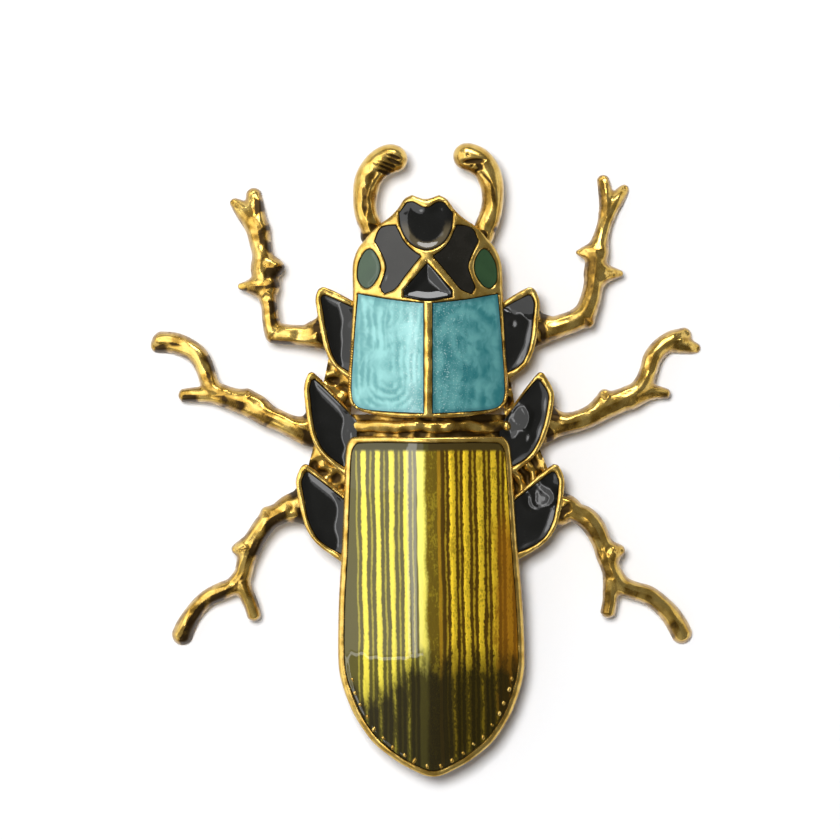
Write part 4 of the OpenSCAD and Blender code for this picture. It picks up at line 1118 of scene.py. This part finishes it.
def olive_enamel():
    """Clear olive enamel over bright ribs, amber at the right, darker toward the tail as painted
    shade, paler on its left half, partly as painted reflection, and painted lighter on the spine's
    left half.
    """
    f = Finish("olive_enamel")
    lean = ((WING_FRONT - f.y) / WING_LEN).clip() * WING_LEAN
    wander = f.noise(1.5, 3.0, stretch=(1.0, 0.35, 1.0)) - 0.5
    grain = f.noise(0.15, 3.0, stretch=(1.0, 0.6, 1.0))
    blotch = f.noise(0.7, 3.0, stretch=(1.0, 0.35, 1.0))
    side = f.x - lean
    u = abs(side) + wander * 0.32
    phase = (u - RIB_FIRST) * (2 * math.pi / RIB_PITCH)
    right = side.step(-0.1, 0.1)
    rough = ((grain - 0.5) * 1.3 + (blotch - 0.5) * 0.9) * (right * 0.7 + 0.7)
    beyond = u.step(SPINE_HALF + 0.2, SPINE_HALF + 0.4) * side.step(-6.0, -5.8)
    front = f.y.step(WING_FRONT - 0.95, WING_FRONT - 1.25)

    rib = (phase.cos() + rough + 0.2 + right * 0.15).step(0.3, 0.95) * beyond * front
    thread = ((phase * 2.0).cos() + rough).step(0.3, 1.1) * beyond * front
    spine = u.step(SPINE_HALF + 0.1, SPINE_HALF - 0.05) * front
    lit = (side + wander * 0.7 + (grain - 0.5) * 0.3).step(-0.12, -0.5)
    line = u.step(0.6, 0.7) * u.step(0.95, 0.85) * right * front
    amber = (side + blotch * 1.2).step(5.4, 6.3) * f.y.step(-2.0, -7.0)

    speck = (grain * 0.5 + blotch * 0.5).step(0.5, 0.6)
    # The left half's gaps and ribs are paler than the right's: partly their own tint, partly a
    # painted reflection of the light on the left.
    gap = f.mix(right, (0.115, 0.098, 0.016), (0.07, 0.036, 0.001))
    gap = f.mix(amber, gap, (0.18, 0.072, 0.002))
    yellow = f.mix(right, (0.92, 0.77, 0.075), (0.85, 0.58, 0.028))
    yellow = f.mix(amber, yellow, (0.42, 0.19, 0.007))
    colour = f.mix(thread * 0.4, gap, yellow)
    colour = f.mix(rib, colour, f.mix(speck * (right * 0.4 + 0.1), yellow, gap))
    dull = f.mix(speck * 0.35, (0.14, 0.092, 0.004), (0.5, 0.38, 0.02))
    # The spine's left half is painted lighter, a painted highlight.
    colour = f.mix(spine, colour, f.mix(lit, dull, (0.9, 0.8, 0.14)))
    colour = f.mix(line * 0.7, colour, (0.45, 0.24, 0.01))
    # Darker toward the tail, reaching higher on the right: painted shade where the dome falls away.
    tail = (f.y + side.step(-1.0, -4.0) * 2.6 + blotch * 4.0 + grain).step(-11.9, -14.9)
    vein = (phase.cos() + rough).step(0.8, 1.3) * beyond
    colour = f.mix(tail * (0.95 - vein * 0.3), colour, (0.018, 0.013, 0.0004))
    colour = f.mix((1.0 - front) * 0.6, colour, (0.045, 0.038, 0.012))
    relief = (phase.cos() * 0.5 + (phase * 2.0).cos() * 0.12) * beyond * front
    relief = relief + spine * 0.4 + grain * 0.45 + blotch * 0.3
    return f.feed(Base_Color=colour, Metallic=(rib + spine).clip() * 0.3, Roughness=0.35,
                  Coat_Weight=1.0, Coat_Roughness=0.02, Specular_IOR_Level=0.0,
                  Normal=f.bump(relief, 0.6, 0.12))


def pin_metal():
    """Plain plated steel with fine drawing marks."""
    f = Finish("pin_metal")
    scratches = f.noise(0.12, 2.0, stretch=(1.0, 0.05, 1.0))
    cloud = f.noise(2.0, 2.0)
    colour = f.mix(cloud.step(0.3, 0.7), (0.78, 0.56, 0.24), (0.7, 0.48, 0.18))
    return f.feed(Base_Color=colour, Metallic=1.0, Roughness=0.25 + scratches * 0.12,
                  Normal=f.bump(scratches, 0.2, 0.02))


def paper():
    """Plain white sheet under the brooch."""
    f = Finish("paper")
    tooth = f.noise(0.4, 3.0)
    return f.feed(Base_Color=f.mix(tooth, (0.95, 0.955, 0.97), (0.97, 0.975, 0.99)), Roughness=0.9,
                  Normal=f.bump(tooth, 0.05, 0.02))


# Stage

def floor():
    """A pale sheet much larger than the view."""
    half, n = 900.0, 13
    places = np.linspace(-half, half, n)
    points = [(x, y, 0.0) for y in places for x in places]
    faces = [(i, i + 1, i + 1 + n, i + n) for i in range(n * (n - 1)) if (i + 1) % n]
    shell = Shell()
    shell.add(points, faces)
    sheet = shell.piece("floor")
    sheet.data.materials.append(paper())


def lamp(name, place, aim, size, shine, diffuse=True, gloss=True):
    """Soft box at a place, facing another, in millimetres: its size is given across and up,
    and shine is its radiance."""
    light = bpy.data.lights.new(name, "AREA")
    light.shape, light.size, light.size_y = "RECTANGLE", size[0] * MM, size[1] * MM
    light.energy = shine * size[0] * size[1] * MM * MM * math.pi
    thing = bpy.data.objects.new(name, light)
    thing.location = Vector(place) * MM
    thing.rotation_euler = (Vector(place) - Vector(aim)).to_track_quat("Z", "Y").to_euler()
    thing.visible_camera = False
    thing.visible_diffuse, thing.visible_glossy = diffuse, gloss
    bpy.context.scene.collection.objects.link(thing)


def lights():
    """Large soft boxes on the left, one of them brighter toward the head, with a bright edge;
    a low one on the right; a strip beyond the head; a small high lamp for the shadows."""
    for row in (
            ("soft_box", (-376, -50, 502), (-231, -50, 20), (280, 677), 1.2),
            ("low_line", (-376, -196, 502), (-231, -196, 20), (6, 677), 4.0),
            ("head_box", (-376, 300, 502), (-231, 300, 20), (420, 677), 1.8),
            ("side_box", (-620, 100, 225), (0, 100, 225), (800, 330), 1.3),
            ("low_box", (620, 0, 120), (0, 0, 120), (900, 200), 1.0),
            ("bright_edge", (-130, 0, 600), (0, 0, 0), (400, 62), 4.0),
            ("back_strip", (40, 520, 330), (0, 0, 0), (300, 170), 9.0)):
        lamp(*row, diffuse=False)
    lamp("shadow_lamp", (-75, 95, 635), (0, 0, 0), (150, 150), 53.0, gloss=False)


def room():
    """Pale walls, brighter on the left."""
    world = bpy.data.worlds.new("room")
    bpy.context.scene.world = world
    world.use_nodes = True
    walls = Nodes(world.node_tree)
    back = walls.tree.nodes["Background"]
    place = walls.node("ShaderNodeTexCoord", {}, {}, "Generated")
    across = walls.node("ShaderNodeSeparateXYZ", {}, {0: place}, "X")
    walls.put(back.inputs["Strength"], walls.node(
        "ShaderNodeMapRange", {}, {0: across, 1: -0.8, 2: 0.35, 3: 0.45, 4: 0.09}))
    back.inputs["Color"].default_value = (1.0, 1.0, 1.0, 1.0)


# The photograph's view: its width and middle at a level between the floor and the crown
CAMERA_HEIGHT, VIEW_WIDTH, VIEW_MIDDLE, VIEW_LEVEL = 620.0, 67.2, (-0.64, 3.2), 4.5


def camera():
    lens = bpy.data.cameras.new("camera")
    lens.lens = lens.sensor_width * (CAMERA_HEIGHT - VIEW_LEVEL) / VIEW_WIDTH
    lens.clip_start, lens.clip_end = 0.01, 10.0
    thing = bpy.data.objects.new("camera", lens)
    thing.location = Vector((*VIEW_MIDDLE, CAMERA_HEIGHT)) * MM
    bpy.context.scene.collection.objects.link(thing)
    bpy.context.scene.camera = thing
    bpy.context.scene.view_settings.view_transform = "Standard"


# The brooch

def brooch():
    gold = antique_gold()
    cast = [head_and_shield(), wing_tray(), neck_band(), tail_beads()]
    for side in (LEFT, RIGHT):
        cast += [leaf_rim(name, side) for name in TIPS]
        cast += [leg(name, side) for name in TIPS]
        cast += [web("front", "middle", side), web("middle", "hind", side), antenna(side)]
    for thing in cast:
        dress(thing, gold, "casting")

    black = glossy("black_enamel", (0.006, 0.006, 0.005), (0.009, 0.009, 0.008))
    smoke = glossy("smoke_enamel", (0.012, 0.011, 0.008), (0.02, 0.018, 0.014))
    green = glossy("green_enamel", (0.026, 0.062, 0.026), (0.034, 0.078, 0.032))
    teal, olive = turquoise_enamel(), olive_enamel()
    enamel("snout", black, SNOUT_LINE, front_dome, 0.05, lift=snout_bowl, shade=painted_snout_reflection)
    enamel("brow", black, BROW_LINE, front_dome, 0.2, 0.5, lift=brow_bowl)
    enamel("wings", olive, wing_line(WING_RIM), wing_dome, lift=wing_ripple)
    for side, word in SIDE_NAMES.items():
        enamel(f"cheek_{word}", smoke, CHEEK_LINES[side], front_dome,
               lift=bubble if side == RIGHT else None)
        enamel(f"eye_{word}", green, EYE_LINES[side], front_dome)
        enamel(f"shield_{word}", teal, PANEL_LINES[side], front_dome, shade=panel_shade)
        for name in TIPS:
            enamel(f"leaf_{name}_{word}", black, leaf_line(name, side, LEAF_BRIM),
                   level(BACK_Z + LEAF_TOP), 0.08 if side == LEFT else 0.045,
                   lift=leaf_tilt(name, side))

    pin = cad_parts["brooch_pin"]
    pin.data.materials.clear()
    pin.data.materials.append(pin_metal())


brooch()
floor()
lights()
room()
camera()
